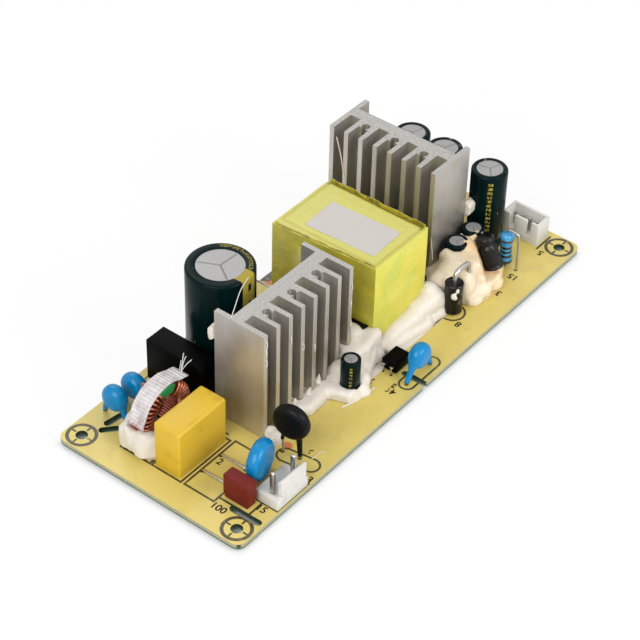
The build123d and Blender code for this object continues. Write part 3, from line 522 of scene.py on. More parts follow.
def islands(node):
    """The boxes of a node's separate solids, in millimetres, from low x to high x."""
    snap = 0.05
    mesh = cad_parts[node].data
    keys = [tuple(round(c / MM / snap) for c in vertex.co) for vertex in mesh.vertices]
    owner = {key: key for key in keys}

    def root(key):
        while owner[key] != key:
            key = owner[key]
        return key

    for face in mesh.polygons:
        first, *others = [keys[i] for i in face.vertices]
        for key in others:
            owner[root(key)] = root(first)
    groups = {}
    for key, vertex in zip(keys, mesh.vertices):
        groups.setdefault(root(key), []).append(vertex.co / MM)
    boxes = []
    for points in groups.values():
        sides = list(zip(*points))
        boxes.append((Vector([min(side) for side in sides]), Vector([max(side) for side in sides])))
    return sorted(boxes, key=lambda pair: (round(pair[0].x, 2), round(pair[0].y, 2)))


# What a user can change


class BoardLook(bpy.types.PropertyGroup):
    laminate: colour("Laminate", tone(218, 197, 107), "Colour of the component side")
    ink: colour("Ink", tone(24, 22, 16), "Colour of the printed lines")
    mask: colour("Underside", tone(38, 92, 52), "Colour of the solder side")
    line: number("Line width", 0.62, "Width of the printed lines in millimetres", 0.1, 2)


class HeatsinkLook(bpy.types.PropertyGroup):
    aluminium: colour("Aluminium", tone(206, 203, 198), "Colour of the extrusion")
    edge: number("Edge", 0.14, "Rounding of its edges in millimetres", 0.02, 1)


class CapacitorLook(bpy.types.PropertyGroup):
    sleeve: colour("Sleeve", tone(2, 26, 27), "Colour of the shrunk sleeve")
    print: colour("Print", tone(176, 158, 60), "Colour of the stripe and marks")
    can: colour("Can", tone(160, 158, 157), "Colour of the bare aluminium end")
    shoulder: number("Shoulder", 0.75, "Rounding of the shoulder in millimetres", 0.1, 2)


class ChokeLook(bpy.types.PropertyGroup):
    copper: colour("Copper", tone(190, 104, 74), "Colour of the enamelled wire")
    core: colour("Core", tone(30, 140, 76), "Colour of the coated ring")
    paper: colour("Paper", tone(226, 222, 222), "Colour of the paper band")
    wire: number("Wire", 0.39, "Radius of the wire in millimetres", 0.1, 1)
    turns: bpy.props.IntProperty(
        name="Turns", description="Turns of each winding", default=16, min=4, max=40
    )


class TransformerLook(bpy.types.PropertyGroup):
    tape: colour("Tape", tone(226, 214, 92), "Colour of the wound tape")
    label: colour("Label", tone(192, 186, 180), "Colour of the label")
    ferrite: colour("Ferrite", tone(60, 60, 62), "Colour of the core")


class DippedLook(bpy.types.PropertyGroup):
    blue: colour("Blue", tone(0, 131, 190), "Colour of the blue coatings")
    black: colour("Black", tone(9, 9, 10), "Colour of the black coating")
    voxel: number("Voxel", 0.17, "Fineness of the coatings in millimetres", 0.05, 1)


class SiliconeLook(bpy.types.PropertyGroup):
    white: colour("White", tone(220, 213, 203), "Colour of the fresh silicone")
    cream: colour("Cream", tone(232, 218, 194), "Colour of the aged silicone")
    voxel: number("Voxel", 0.38, "Fineness of the silicone in millimetres", 0.1, 2)
    lumps: number("Lumps", 1.0, "Height of its lumps in millimetres", 0, 4)


class SmallLook(bpy.types.PropertyGroup):
    yellow: colour("Film capacitor", tone(213, 176, 50), "Colour of the yellow box")
    red: colour("Fuse", tone(110, 32, 26), "Colour of the fuse")
    white: colour("Headers", tone(214, 212, 205), "Colour of the headers")
    black: colour("Mouldings", tone(3, 3, 3), "Colour of the black mouldings")
    resistor: colour("Resistor", tone(52, 150, 206), "Colour of the resistor's lacquer")


class StageLook(bpy.types.PropertyGroup):
    floor: colour("Floor", (0.86, 0.86, 0.86), "Colour of the floor")
    place: bpy.props.FloatVectorProperty(
        name="Camera",
        description="Place of the camera in metres",
        subtype="TRANSLATION",
        unit="LENGTH",
        default=(-0.33856, -0.25195, 0.36843),
    )
    turn: number("Turn", radians(-52.837), "Camera's turn about Z", -pi, pi, "ANGLE")
    tilt: number("Tilt", radians(40.696), "Camera's height angle", -pi, pi, "ANGLE")
    roll: number("Roll", radians(1.722), "Camera's roll", -pi, pi, "ANGLE")
    lens: number("Lens", 118.09, "Focal length in millimetres", 10, 400)
    lamps: number("Lamps", 1.0, "Strength of all lamps", 0, 5)
    sky: number("Sky", 0.44, "Strength of the light from all round", 0, 5)


LOOKS = {
    "psu_board": BoardLook,
    "psu_heatsink": HeatsinkLook,
    "psu_capacitor": CapacitorLook,
    "psu_choke": ChokeLook,
    "psu_transformer": TransformerLook,
    "psu_dipped": DippedLook,
    "psu_silicone": SiliconeLook,
    "psu_small": SmallLook,
    "psu_stage": StageLook,
}


class Print:
    """Printed lines on the board, as masks over its x and y in millimetres."""

    def __init__(self, x, y, line):
        self.x, self.y, self.line = x, y, line
        self.masks = []

    def edge(self, distance, line=None):
        """A line where a distance is 0."""
        self.masks.append(abs(distance).below((line or self.line) / 2, INK_EDGE))

    def rectangle(self, low, high):
        """The outline of a rectangle."""
        across = abs(self.x - (low[0] + high[0]) / 2) - (high[0] - low[0]) / 2
        along = abs(self.y - (low[1] + high[1]) / 2) - (high[1] - low[1]) / 2
        self.edge(across | along)

    def bar(self, low, high):
        """A filled rectangle."""
        across = self.x.between(low[0], high[0], INK_EDGE)
        self.masks.append(across & self.y.between(low[1], high[1], INK_EDGE))

    def circle(self, x, y, radius, line=None):
        """A ring, which may have a line of its own width."""
        away = ((self.x - x) ** 2 + (self.y - y) ** 2) ** 0.5
        self.edge(away - radius, line)

    def cross(self, x, y, near, far, half):
        """Four short lines that point at the middle of a ring."""
        across, along = abs(self.x - x), abs(self.y - y)
        for one, other in ((across, along), (along, across)):
            self.masks.append(one.between(near, far, INK_EDGE) & other.below(half, INK_EDGE))

    def capsule(self, a, b, radius):
        """The outline of a bar with round ends."""
        run = Vector(b) - Vector(a)
        share = ((self.x - a[0]) * run.x + (self.y - a[1]) * run.y) / run.length_squared
        share = share.math("ADD", 0.0, clamp=True)
        off_x = self.x - a[0] - share * run.x
        off_y = self.y - a[1] - share * run.y
        self.edge((off_x**2 + off_y**2) ** 0.5 - radius)


def print_board(drawn):
    """The outlines printed round the parts, taken from where the parts stand."""
    low, high = box("circuit_board")
    inset, hole, ring, line = 4.5, 1.9, 3.7, 0.95
    for x in (low.x + inset, high.x - inset):
        for y in (low.y + inset, high.y - inset):
            drawn.circle(x, y, ring, line)
            drawn.cross(x, y, hole, ring, 0.3)
    for node, left, front, right, back in (
        ("film_capacitor_case", -0.5, -0.7, 0.5, 0.4),
        ("fuse_cap", -0.8, -1.0, 0.8, 0.5),
        ("mains_header_body", 0.0, 0.2, 0.5, 0.4),
        ("bridge_rectifier_body", -0.6, -0.8, 0.0, 0.8),
    ):
        near, far = box(node)
        drawn.rectangle((near.x + left, near.y + front), (far.x + right, far.y + back))
    film_low, film_high = box("film_capacitor_case")
    core = middle("choke_core")
    drawn.rectangle((film_low.x - 0.5, film_high.y + 1.1), (film_high.x + 0.8, core.y + 4.7))
    drawn.rectangle((film_low.x - 0.4, film_low.y - 11.3), (film_high.x + 1.2, film_low.y - 1.8))
    disc = middle("thermistor_body")
    drawn.capsule((disc.x + 0.2, disc.y - 6.2), (disc.x - 0.9, disc.y + 1.0), 2.3)
    safety = [pair for pair in islands("safety_capacitors") if pair[1].y < 0][0]
    y = (safety[0].y + safety[1].y) / 2
    drawn.capsule((safety[0].x + 0.9, y), (safety[1].x + 0.2, y), 2.1)
    for node, radius in (("standing_diode_body", 3.5), ("rod_choke_core", 3.6)):
        drawn.circle(middle(node).x, middle(node).y, radius)
    drawn.circle(PAINTED_SHADOW_SPOT[0] - 0.6, PAINTED_SHADOW_SPOT[1] - 0.8, 1.1)
    fuse, header = box("fuse_cap")[0], box("mains_header_body")
    first = box("optocoupler_body")[0]
    out_low, out_high = box("output_header_body")
    for near, far in (
        ((out_low.x - 0.9, out_low.y - 1.0), (out_high.x + 0.6, out_low.y - 0.3)),
        ((first.x - 4.6, first.y - 2.6), (first.x - 2.6, first.y - 1.6)),
        ((fuse.x - 2.6, fuse.y + 0.2), (fuse.x - 1.4, fuse.y + 3.4)),
        ((header[1].x + 1.2, header[0].y + 2.2), (header[1].x + 2.4, header[0].y + 4.6)),
        ((film_high.x + 1.6, film_low.y + 1.0), (film_high.x + 2.2, film_high.y - 2.0)),
        ((low.x + 9.0, core.y + 9.5), (film_low.x - 0.8, core.y + 10.2)),
    ):
        drawn.bar(near, far)


def laminate(look):
    """The board: printed on top, soldered below, bare glass cloth at its outer edges, with painted
    shade in its holes and slots and a painted shadow at its back edge.
    """
    finish = Finish("Laminate")
    x, y, z = finish.axes()
    cloud = finish.noise(22.0, 4.0, 0.6)
    specks = finish.noise(0.9, 3.0, 0.7).above(0.7, 0.04)
    stain = finish.noise(7.0, 5.0, 0.65, shift=3.0).above(0.62, 0.16)
    # painted shadow: a dark patch on the board at its back edge, beside the second heatsink
    dark_patch = ((x - PAINTED_SHADOW_SPOT[0]) ** 2 * 0.3 + (y - PAINTED_SHADOW_SPOT[1]) ** 2).below(2.6, 1.6)
    red = [((x - cx) ** 2 + (y - cy) ** 2).below(size, soft) for cx, cy, size, soft in RED_MARKS]
    drawn = Print(x, y, look.line)
    print_board(drawn)
    worn = any_of(drawn.masks) * finish.noise(1.6, 3.0).above(0.3, 0.2)
    top = finish.layers(
        finish.uneven(cloud.above(0.5, 0.5), look.laminate, 0.8),
        (stain * 0.3, darker(look.laminate, 0.55)),
        (specks * 0.22, tone(250, 246, 226)),
        # painted shadow at the back edge
        (dark_patch * 0.85, tone(44, 38, 28)),
        (any_of(red) * 0.75, tone(196, 60, 24)),
        (worn * 0.93, look.ink),
    )
    tracks = finish.node(
        "ShaderNodeTexVoronoi",
        {"feature": "DISTANCE_TO_EDGE", "distance": "EUCLIDEAN"},
        {"Vector": finish.place(), "Scale": 95.0, "Randomness": 0.75},
        output="Distance",
    ).above(0.055, 0.02)
    below = finish.mix(tracks, darker(look.mask, 0.5), blended(look.mask, tone(150, 150, 60), 0.25))
    is_below = z.below(UNDERSIDE + 0.04, 0.02)
    cloth = finish.noise(1.2, 4.0, 0.6, (1, 1, 0.2))
    corner = box("circuit_board")[1]
    outside = (abs(x) - (corner.x - 0.4)) | (abs(y) - (corner.y - 0.4))
    rim = finish.layers(
        finish.mix(cloth, tone(120, 116, 88), tone(186, 178, 138)),
        # painted shade: dark green on the walls of holes and slots inside the board, away from its
        # outer edges
        (1 - outside.above(0.0, 0.1), tone(34, 48, 32)),
        (z.below(-1.1, 0.3), blended(look.mask, tone(90, 110, 90), 0.3)),
        (is_below, below),
        (z.above(-0.05, 0.02), top),
    )
    finish.set(Base_Color=rim, Coat_Weight=0.15)
    finish.set(Roughness=0.42 + (cloud - 0.5) * 0.2 - is_below * 0.1)
    weave = finish.noise(0.5, 2.0, 0.6)
    finish.bump(weave * 0.5 + worn * 0.5 + is_below * tracks, 0.035)
    return finish.material


# What is printed beside the parts: a plain number, its place in millimetres and its turn
BOARD_NUMBERS = (
    ("100", -69.0, -15.4, -90),
    ("2", -56.6, -6.8, -90),
    ("12", -43.6, -15.2, 90),
    ("6", -39.6, -22.0, -90),
    ("3", -47.3, -28.0, -90),
    ("15", -62.6, -24.4, -90),
    ("72", -6.6, -19.2, 90),
    ("46", -6.6, -26.2, 90),
    ("8", 26.2, -23.6, 90),
    ("3", 43.9, -24.6, 90),
    ("15", 52.2, -24.4, 90),
    ("5", 66.0, -23.6, 90),
)


class PSU_OT_board(bpy.types.Operator):
    """Paint the circuit board and round its solder joints"""

    bl_idname = "psu.board"
    bl_label = "Circuit Board"

    def execute(self, context):
        look = context.scene.psu_board
        paint_node("circuit_board", laminate(look))
        joints = merged_copy("solder_joints_smooth", "solder_joints")
        soft(modify(joints, "SUBSURF", levels=2, render_levels=2))
        solder = metal("Solder", tone(196, 198, 200), rough=0.28, size=1.2, dull=0.3)
        shown(joints, solder, "solder", "solder_joints")
        ink = plastic("Printing ink", tuple(look.ink), rough=0.6, dirt=0.1)
        marks = []
        for text, x, y, turn in BOARD_NUMBERS:
            free()
            bpy.ops.object.text_add(
                location=(x * MM, y * MM, 0.02 * MM), rotation=(0, 0, radians(turn))
            )
            mark = bpy.context.object
            mark.data.body = text
            mark.data.size = 3.0 * MM
            mark.data.offset = 0.07 * MM
            bpy.ops.object.convert(target="MESH")
            marks.append(settle(bpy.context.object))
        shown(together("board_numbers", marks), ink, "laminate")
        return {"FINISHED"}


def extruded(look):
    """Extruded aluminium: fine lines along its length, sawn ends and dull patches."""
    finish = Finish("Extruded aluminium", Metallic=0.8, Specular_IOR_Level=0.4)
    _, ny, nz = finish.facing()
    x, _, z = finish.axes()
    lines = finish.noise(0.35, 3.0, 0.6, (1, 1, 60))
    patches = finish.noise(9.0, 4.0, 0.6, (1, 1, 1.6))
    stain = finish.noise(7.0, 5.0, 0.6, (1, 1, 2.2), shift=2.0).above(0.5, 0.3)
    streaks = finish.noise(1.4, 4.0, 0.6, (1, 1, 14), shift=9.0).above(0.6, 0.1)
    marks = finish.noise(1.0, 5.0, 0.7, (1, 1, 2.0), shift=5.0).above(0.7, 0.05)
    # painted shade on the second heatsink's front faces, darker towards the board
    painted_shade_flank = (-1 * ny).above(0.7, 0.2) & x.above(40.0, 4.0) & z.below(9.0, 20.0)
    sawn = nz.above(0.6, 0.2)
    grit = finish.noise(0.42, 4.0, 0.7)
    shade = look.aluminium
    face = finish.layers(
        finish.uneven(patches.above(0.5, 0.5), shade, 0.8),
        (lines.above(0.52, 0.3) * 0.12, darker(shade, 0.66)),
        (stain * (0.22 + z.below(16.0, 22.0) * 0.4), tone(172, 154, 108)),
        (streaks * 0.1, tone(122, 116, 104)),
        (marks * 0.45, tone(236, 232, 226)),
        # painted shade on the front faces
        (painted_shade_flank * 0.85, tone(52, 52, 50)),
        (sawn, finish.mix(grit.above(0.5, 0.4), darker(shade, 0.42), darker(shade, 0.84))),
    )
    finish.set(Base_Color=face)
    finish.set(Roughness=0.4 + (patches - 0.5) * 0.2 + marks * 0.25 + sawn * 0.15)
    finish.bump(lines * 0.5 + grit * sawn, 0.06)
    return finish.material


class PSU_OT_heatsinks(bpy.types.Operator):
    """Finish the two heatsinks with their pins, screws, pads and power devices"""

    bl_idname = "psu.heatsinks"
    bl_label = "Heatsinks"

    def execute(self, context):
        look = context.scene.psu_heatsink
        aluminium = extruded(look)
        for node in ("primary_heatsink", "secondary_heatsink"):
            piece = rounded(merged_copy(f"{node}_finished", node), look.edge)
            modify(piece, "WEIGHTED_NORMAL", mode="FACE_AREA", weight=100, keep_sharp=True)
            shown(piece, aluminium, "extruded_aluminium", node)
        tin = metal("Tinned steel", tone(190, 190, 192))
        steel = metal("Screw steel", tone(176, 176, 170), 0.32)
        grey = plastic("Silicone pad", tone(150, 156, 160), rough=0.7, grain=0.3)
        skin = {"rough": 0.55, "grain": 0.25, "depth": 0.03, "shine": 0.1}
        black = plastic("Moulded case", tone(10, 10, 10), **skin)
        finished("heatsink_pins", tin, "tinned_metal", 0.2, 3, 20)
        finished("heatsink_screws", steel, "tinned_metal", 0.3, 3, 40)
        finished("insulating_pads", grey, "grey_pad", 0.05)
        for device in ("switch_transistor", "output_rectifier"):
            finished(f"{device}_case", black, "black_moulding", 0.2)
            finished(f"{device}_tab", tin, "tinned_metal", 0.12)
            finished(f"{device}_legs", tin, "tinned_metal", 0.08)
        return {"FINISHED"}


def sleeve_finish(look, cans):
    """The shrunk sleeve: deep gloss, a printed stripe with bars, and a few rubbed marks."""
    finish = Finish("Capacitor sleeve", Specular_IOR_Level=0.07)
    x, y, z = finish.axes()
    cloud = finish.noise(6.0, 3.0)
    strokes = finish.noise(0.42, 1.0, 0.4, (1, 1, 1.3)).above(0.46, 0.04)
    rim_x, rim_y = heading(-12)
    bands = []
    for cx, cy, radius, height, turn in cans:
        out_x, out_y = heading(turn)
        off_x, off_y = x - cx, y - cy
        ahead = off_x * out_x + off_y * out_y
        aside = abs(off_x * -out_y + off_y * out_x)
        near = (off_x**2 + off_y**2).below((radius + 0.6) ** 2, 0.2) & ahead.above(0.0, 0.2)
        if radius > BULK_RADIUS:
            slots = (z / (radius * 0.62)).math("FRACT").between(0.3, 0.7, 0.1)
            bars = near & aside.below(radius * 0.07, 0.08) & slots
            rim = ((off_x**2 + off_y**2) ** 0.5).between(radius - 1.9, radius - 0.8, 0.1)
            right = (off_x * rim_x + off_y * rim_y).above(radius * 0.5, 0.3)
            bands.append(near & aside.below(radius * 0.27, 0.1))
            bands.append((rim & right & z.above(height - 1.0, 0.1) & strokes) * 0.55)
        else:
            row = (z / (0.9 + radius * 0.1)).math("FRACT").between(0.2, 0.8, 0.1)
            inside = z.between(1.6, height - 1.4, 0.2)
            bands.append(near & aside.below(radius * 0.13, 0.1) & row & inside & strokes)
    smears = finish.noise(3.0, 5.0, 0.7, (1, 1, 2.5), shift=8.0).above(0.68, 0.04)
    base = finish.layers(
        finish.uneven(cloud, look.sleeve, 0.6),
        (any_of(bands) * 0.85, look.print),
        (bars, look.sleeve),
        (smears * 0.5, tone(222, 220, 214)),
    )
    finish.set(Base_Color=base, Roughness=0.2 + cloud * 0.1 + smears * 0.3)
    finish.bump(finish.noise(2.2, 3.0, 0.5) * 0.6 + smears * 0.4, 0.05)
    return finish.material


def can_finish(look, ends):
    """Pressed aluminium with three scored lines that let a fault vent."""
    finish = Finish("Can end", Metallic=0.35, Specular_IOR_Level=0.4)
    x, y, z = finish.axes()
    lines = []
    for cx, cy, radius in ends:
        start = 117 if radius > 5.5 else 100
        for turn in (start, start + 120, start + 240):
            out_x, out_y = heading(turn)
            ahead = (x - cx) * out_x + (y - cy) * out_y
            aside = abs((x - cx) * -out_y + (y - cy) * out_x)
            thin = aside.below(radius * 0.035, 0.08)
            lines.append(ahead.between(-0.15, radius * 0.93, 0.1) & thin)
    scored = any_of(lines)
    brushed = finish.noise(0.5, 3.0, 0.6)
    base = finish.uneven(finish.noise(3.5, 3.0), look.can, 0.86)
    finish.set(Base_Color=finish.mix(scored * 0.75, base, darker(look.can, 0.4)))
    finish.set(Roughness=0.42 + (brushed - 0.5) * 0.2)
    finish.bump(brushed * 0.3 - scored, 0.12)
    return finish.material


class PSU_OT_capacitors(bpy.types.Operator):
    """Turn the sleeved capacitors with their scored ends"""

    bl_idname = "psu.capacitors"
    bl_label = "Capacitors"

    def execute(self, context):
        look = context.scene.psu_capacitor
        sleeves, ends, cans, scored = [], [], [], []
        tops = islands("capacitor_can_tops")
        for low, high in islands("capacitor_sleeves"):
            x, y = (low.x + high.x) / 2, (low.y + high.y) / 2
            radius, height = (high.x - low.x) / 2, high.z
            rim = Vector((x, y, height))
            top = min(tops, key=lambda pair: ((pair[0] + pair[1]) / 2 - rim).length)
            end, lid = (top[1].x - top[0].x) / 2, top[1].z
            shoulder = look.shoulder * min(1, radius / 5)
            crimp = height * 0.1 + 0.4
            profile = [(0, 0), (radius - 0.35, 0), (radius, 0.4), (radius, crimp - 0.5)]
            profile += [(radius - 0.3, crimp), (radius, crimp + 0.5), (radius, height - shoulder)]
            inner, lower = radius - shoulder, height - shoulder
            for out, up in map(heading, (22.5, 45, 67.5)):
                profile.append((inner + shoulder * out, lower + shoulder * up))
            profile += [(radius - shoulder, height), (end + 0.12, height - 0.02)]
            profile += [(end, height - 0.08), (end - 0.02, lid - 0.1), (0, lid - 0.1)]
            sleeves.append(turned("capacitor_sleeve", profile, x, y, 72))
            plate = [(0, lid), (end * 0.8, lid), (end - 0.03, lid - 0.03)]
            plate += [(end - 0.03, lid - 0.3), (0, lid - 0.3)]
            ends.append(turned("can_end", plate, x, y, 64))
            cans.append((x, y, radius, height, -86 if radius > BULK_RADIUS else -141))
            scored.append((x, y, end))
        body = smooth(together("capacitor_sleeves_turned", sleeves), 40)
        shown(body, sleeve_finish(look, cans), "green_sleeve", "capacitor_sleeves")
        plates = smooth(together("capacitor_ends_turned", ends), 40)
        shown(plates, can_finish(look, scored), "can_aluminium", "capacitor_can_tops")
        paint_node("capacitor_leads", metal("Capacitor leads", tone(190, 190, 192)))
        return {"FINISHED"}


def winding_points(ring, side, look, outer, inner, half):
    """The middle line of one winding: rounded turns laid side by side along the ring."""
    first, step = 84 + side * 21, side * 144 / look.turns
    grip = look.wire + 0.06
    centre = (outer + inner) / 2
    reach = (outer - inner) / 2 + grip
    depth = half + grip
    points = []
    steps = 20
    for i in range(look.turns * steps + 1):
        share = i / steps
        around = 2 * pi * share + pi / 4
        c, s = cos(around), sin(around)
        blunt = (abs(c) ** 4 + abs(s) ** 4) ** 0.25
        radial = centre + reach * c / blunt
        out, up = heading(first + step * share)
        points.append((ring.x + radial * out, ring.y + depth * s / blunt, ring.z + radial * up))
    return points


class PSU_OT_choke(bpy.types.Operator):
    """Wind the filter choke, with its coated ring and paper band"""

    bl_idname = "psu.choke"
    bl_label = "Filter Choke"

    def execute(self, context):
        look = context.scene.psu_choke
        low, high = box("choke_core")
        ring = (low + high) / 2
        outer, half = (high.x - low.x) / 2, (high.y - low.y) / 2
        inner = outer * 5 / 8
        profile = [(inner, -half), (outer, -half), (outer, half), (inner, half), (inner, -half)]
        core = rounded(turned("choke_core_turned", profile, 0, 0, 72), 0.7, 4)
        core.rotation_euler = (radians(90), 0, 0)
        core.location = ring * MM
        shown(settle(core), self.coated(look, ring), "green_core", "choke_core")
        enamel = Finish("Enamelled copper", Metallic=0.75, Coat_Weight=0.5)
        tint = enamel.noise(1.3, 3.0)
        shade = enamel.uneven(tint, look.copper, 0.45)
        enamel.set(Base_Color=shade, Roughness=0.25 + tint * 0.12)
        enamel.bump(enamel.noise(0.3, 2.0), 0.02)
        for side, node in ((1, "choke_winding_left"), (-1, "choke_winding_right")):
            points = winding_points(ring, side, look, outer, inner, half)
            bottom = box(node)[0].z
            (x, _, z), last = points[0], points[-1]
            back = ring.y + half + 3 * look.wire
            rise = [(x, back + 0.1, bottom), (x, back + 0.1, z * 0.6)]
            rise += [(x, back, z - 0.6), (x, back - 1.4, z + 0.05)]
            down = [(last[0], last[1], min(last[2], 1.2)), (last[0], last[1], bottom)]
            turns = wire(f"{node}_turns", rise + points + down, look.wire, "POLY", 2)
            shown(turns, enamel.material, "enamelled_copper", node)
        self.band(look, ring, box("choke_paper_band")[1].z - ring.z, half)
        return {"FINISHED"}

    def coated(self, look, ring):
        """Green coating where the ring is bare, and painted shade in the gaps between the turns,
        dark copper as of a deeper layer of wire.
        """
        finish = Finish("Ring coating", Specular_IOR_Level=0.35, Roughness=0.35)
        x, y, z = finish.axes()
        bare = ((z - ring.z) * 0.42 - abs(x - ring.x)).above(0.0, 0.5)
        cloud = finish.noise(1.4, 3.0)
        green = finish.uneven(cloud, look.core, 0.7)
        # painted shade between the turns: dark copper where the winding covers the ring, as of a
        # deeper layer of wire in shadow
        finish.set(Base_Color=finish.mix(bare, darker(look.copper, 0.1), green))
        finish.bump(cloud, 0.1)
        return finish.material

    def band(self, look, ring, rim, half):
        """The paper band, lifting at one end where clear strands stand out of it."""
        points = []
        for degrees in range(176, 36, -7):
            lift = max(0, 58 - degrees) * 0.09 + max(0, degrees - 160) * 0.03
            out, up = heading(degrees)
            points.append(((rim + 0.1 + lift) * out, (rim + 0.1 + lift) * up))
        band = ribbon("choke_paper_band_wrapped", points, half + 0.05, 0.13)
        band.rotation_euler = (radians(90), 0, 0)
        band.location = Vector((ring.x, ring.y - 0.45, ring.z)) * MM
        settle(band)
        modify(band, "SUBSURF", levels=1, render_levels=1, subdivision_type="SIMPLE")
        smooth(crumpled(band, 0.3, 3.0), 60)
        shown(band, self.paper(look, ring), "paper", "choke_paper_band")
        root = Vector((ring.x + 6.4, ring.y, ring.z + 6.6))
        strands = []
        tips = [(2.0, -1.6, 5.6), (3.1, 0.2, 5.0), (3.6, -2.0, 3.6), (0.8, -0.9, 4.6)]
        for i, tip in enumerate(tips):
            elbow = root + Vector(tip) * 0.5 + Vector((0.5, 0.3 * (-1) ** i, 0.3))
            line = [root + Vector((0.3 * i, -1.5 + 0.6 * i, -0.6)), elbow, root + Vector(tip)]
            strands.append(wire("strand", line, 0.13))
        clear = plastic("Clear strand", tone(206, 208, 208), rough=0.2, dirt=0.1, shine=0.6)
        shown(together("choke_band_strands", strands), clear, "paper")

    def paper(self, look, ring):
        """Thin glossy paper that lets the turns show through as ribs."""
        finish = Finish("Paper band", Specular_IOR_Level=0.4, Roughness=0.36)
        x, y, z = finish.axes()
        cloud = finish.noise(2.6, 4.0, 0.6)
        ribs = ((x - ring.x).math("ARCTAN2", z - ring.z) * 60.0).math("SINE")
        low_end = (x - ring.x).below(-6.0, 3.0) & z.below(ring.z + 3.0, 3.0)
        stain = finish.noise(1.6, 4.0, 0.6, shift=4.0).above(0.56, 0.05) & low_end
        shade = finish.layers(
            finish.mix(cloud.above(0.5, 0.4), tone(178, 168, 168), look.paper),
            (ribs.above(0.4, 0.8) * 0.22, tone(150, 138, 140)),
            (stain * 0.5, tone(166, 74, 66)),
        )
        finish.set(Base_Color=shade)
        finish.bump(ribs * 0.4 + cloud, 0.22)
        return finish.material


def coating(name, shade, rough=0.2, shine=0.3):
    """Dipped epoxy: high gloss over a slightly uneven skin."""
    finish = Finish(name, Specular_IOR_Level=shine)
    cloud = finish.noise(3.0, 3.0)
    dust = finish.noise(0.8, 4.0, 0.7).above(0.72, 0.04)
    base = finish.uneven(cloud, shade, 0.8)
    finish.set(Base_Color=finish.mix(dust * 0.3, base, tone(226, 226, 226)))
    finish.set(Roughness=rough + cloud * 0.1)
    finish.bump(finish.noise(1.6, 2.0), 0.05)
    return finish.material


def dipped(name, low, high, radius, thickness, turn, legs, voxel):
    """A dipped disc that runs down its legs: place, start on the disc, foot, size and bow."""
    centre = (low + high) / 2
    height = high.z - radius
    free()
    bpy.ops.mesh.primitive_cylinder_add(
        vertices=48,
        radius=radius * MM,
        depth=thickness * MM,
        location=(centre.x * MM, centre.y * MM, height * MM),
        rotation=(radians(90), 0, radians(turn)),
    )
    parts = [rounded(settle(named(name)), thickness * 0.47, 5)]
    along = Vector((*heading(turn), 0))
    for at, start, bottom, thin, bow in legs:
        foot = Vector((centre.x, centre.y, bottom)) + along * at
        head = Vector((centre.x, centre.y, height)) + along * start
        knee = foot.lerp(head, 0.45) + along * bow
        parts.append(tapered(foot, knee, thin, thin * 1.25))
        parts.append(tapered(knee, head, thin * 1.2, thin * 2.6))
        parts.append(ball(knee, thin * 1.2))
    return melted(together(name, parts), voxel, 9)


class PSU_OT_dipped(bpy.types.Operator):
    """Dip the safety capacitors, the varistor and the thermistor"""

    bl_idname = "psu.dipped"
    bl_label = "Dipped Discs"

    def execute(self, context):
        look = context.scene.psu_dipped
        blue = coating("Blue coating", tuple(look.blue))
        tin = metal("Bare leads", tone(186, 184, 182))
        discs = []
        for low, high in islands("safety_capacitors"):
            along = (high.x - low.x) > (high.y - low.y)
            radius, reach, turn = (3.7, 5.2, 0) if along else (3.75, 3.75, 90)
            high.z -= 0.9 if along or low.x < -58 else 1.6
            legs = [(side * reach, side * 2.0, low.z, 0.68, 0.2) for side in (-1, 1)]
            discs.append(dipped("safety_disc", low, high, radius, 4.4, turn, legs, look.voxel))
        safety = together("safety_capacitors_dipped", discs)
        shown(safety, blue, "blue_coating", "safety_capacitors")
        paint_node("safety_capacitor_leads", tin)
        low, high = box("varistor_body")
        legs = [(side * 3.75, side * 2.4, low.z, 0.6, 0.0) for side in (-1, 1)]
        varistor = dipped("varistor_dipped", low, high, 5.65, 4.1, 14, legs, look.voxel)
        deep = coating("Varistor coating", tuple(look.blue), 0.18)
        shown(varistor, deep, "varistor_coating", "varistor_body")
        paint_node("varistor_leads", tin)
        low, high = box("thermistor_body")
        high.z -= 0.8
        legs = [(-2.6, -1.6, 0.8, 0.62, -0.2), (2.6, 1.4, low.z + 1.2, 0.5, 0.0)]
        thermistor = dipped("thermistor_dipped", low, high, 5.15, 3.7, 99, legs, look.voxel)
        black = coating("Black coating", tuple(look.black), 0.34, 0.14)
        shown(thermistor, black, "black_coating", "thermistor_body")
        ends = sorted(((a + b) / 2 for a, b in islands("thermistor_leads")), key=lambda p: p.y)
        straight = [(0, 0, UNDERSIDE), (0, 0, 0.5), (0, -0.1, 2.5)]
        bent = [(0, 0, UNDERSIDE), (0, 0, 0.8), (-0.5, -0.9, 1.6), (-0.2, -0.3, 3.4), (0, 0, 5.2)]
        wires = []
        for name, spot, bends in (("front_lead", ends[0], straight), ("rear_lead", ends[-1], bent)):
            points = [(spot.x + dx, spot.y + dy, z) for dx, dy, z in bends]
            wires.append(wire(name, points, 0.33))
        shown(together("thermistor_leads_bent", wires), tin, "tinned_metal", "thermistor_leads")
        return {"FINISHED"}


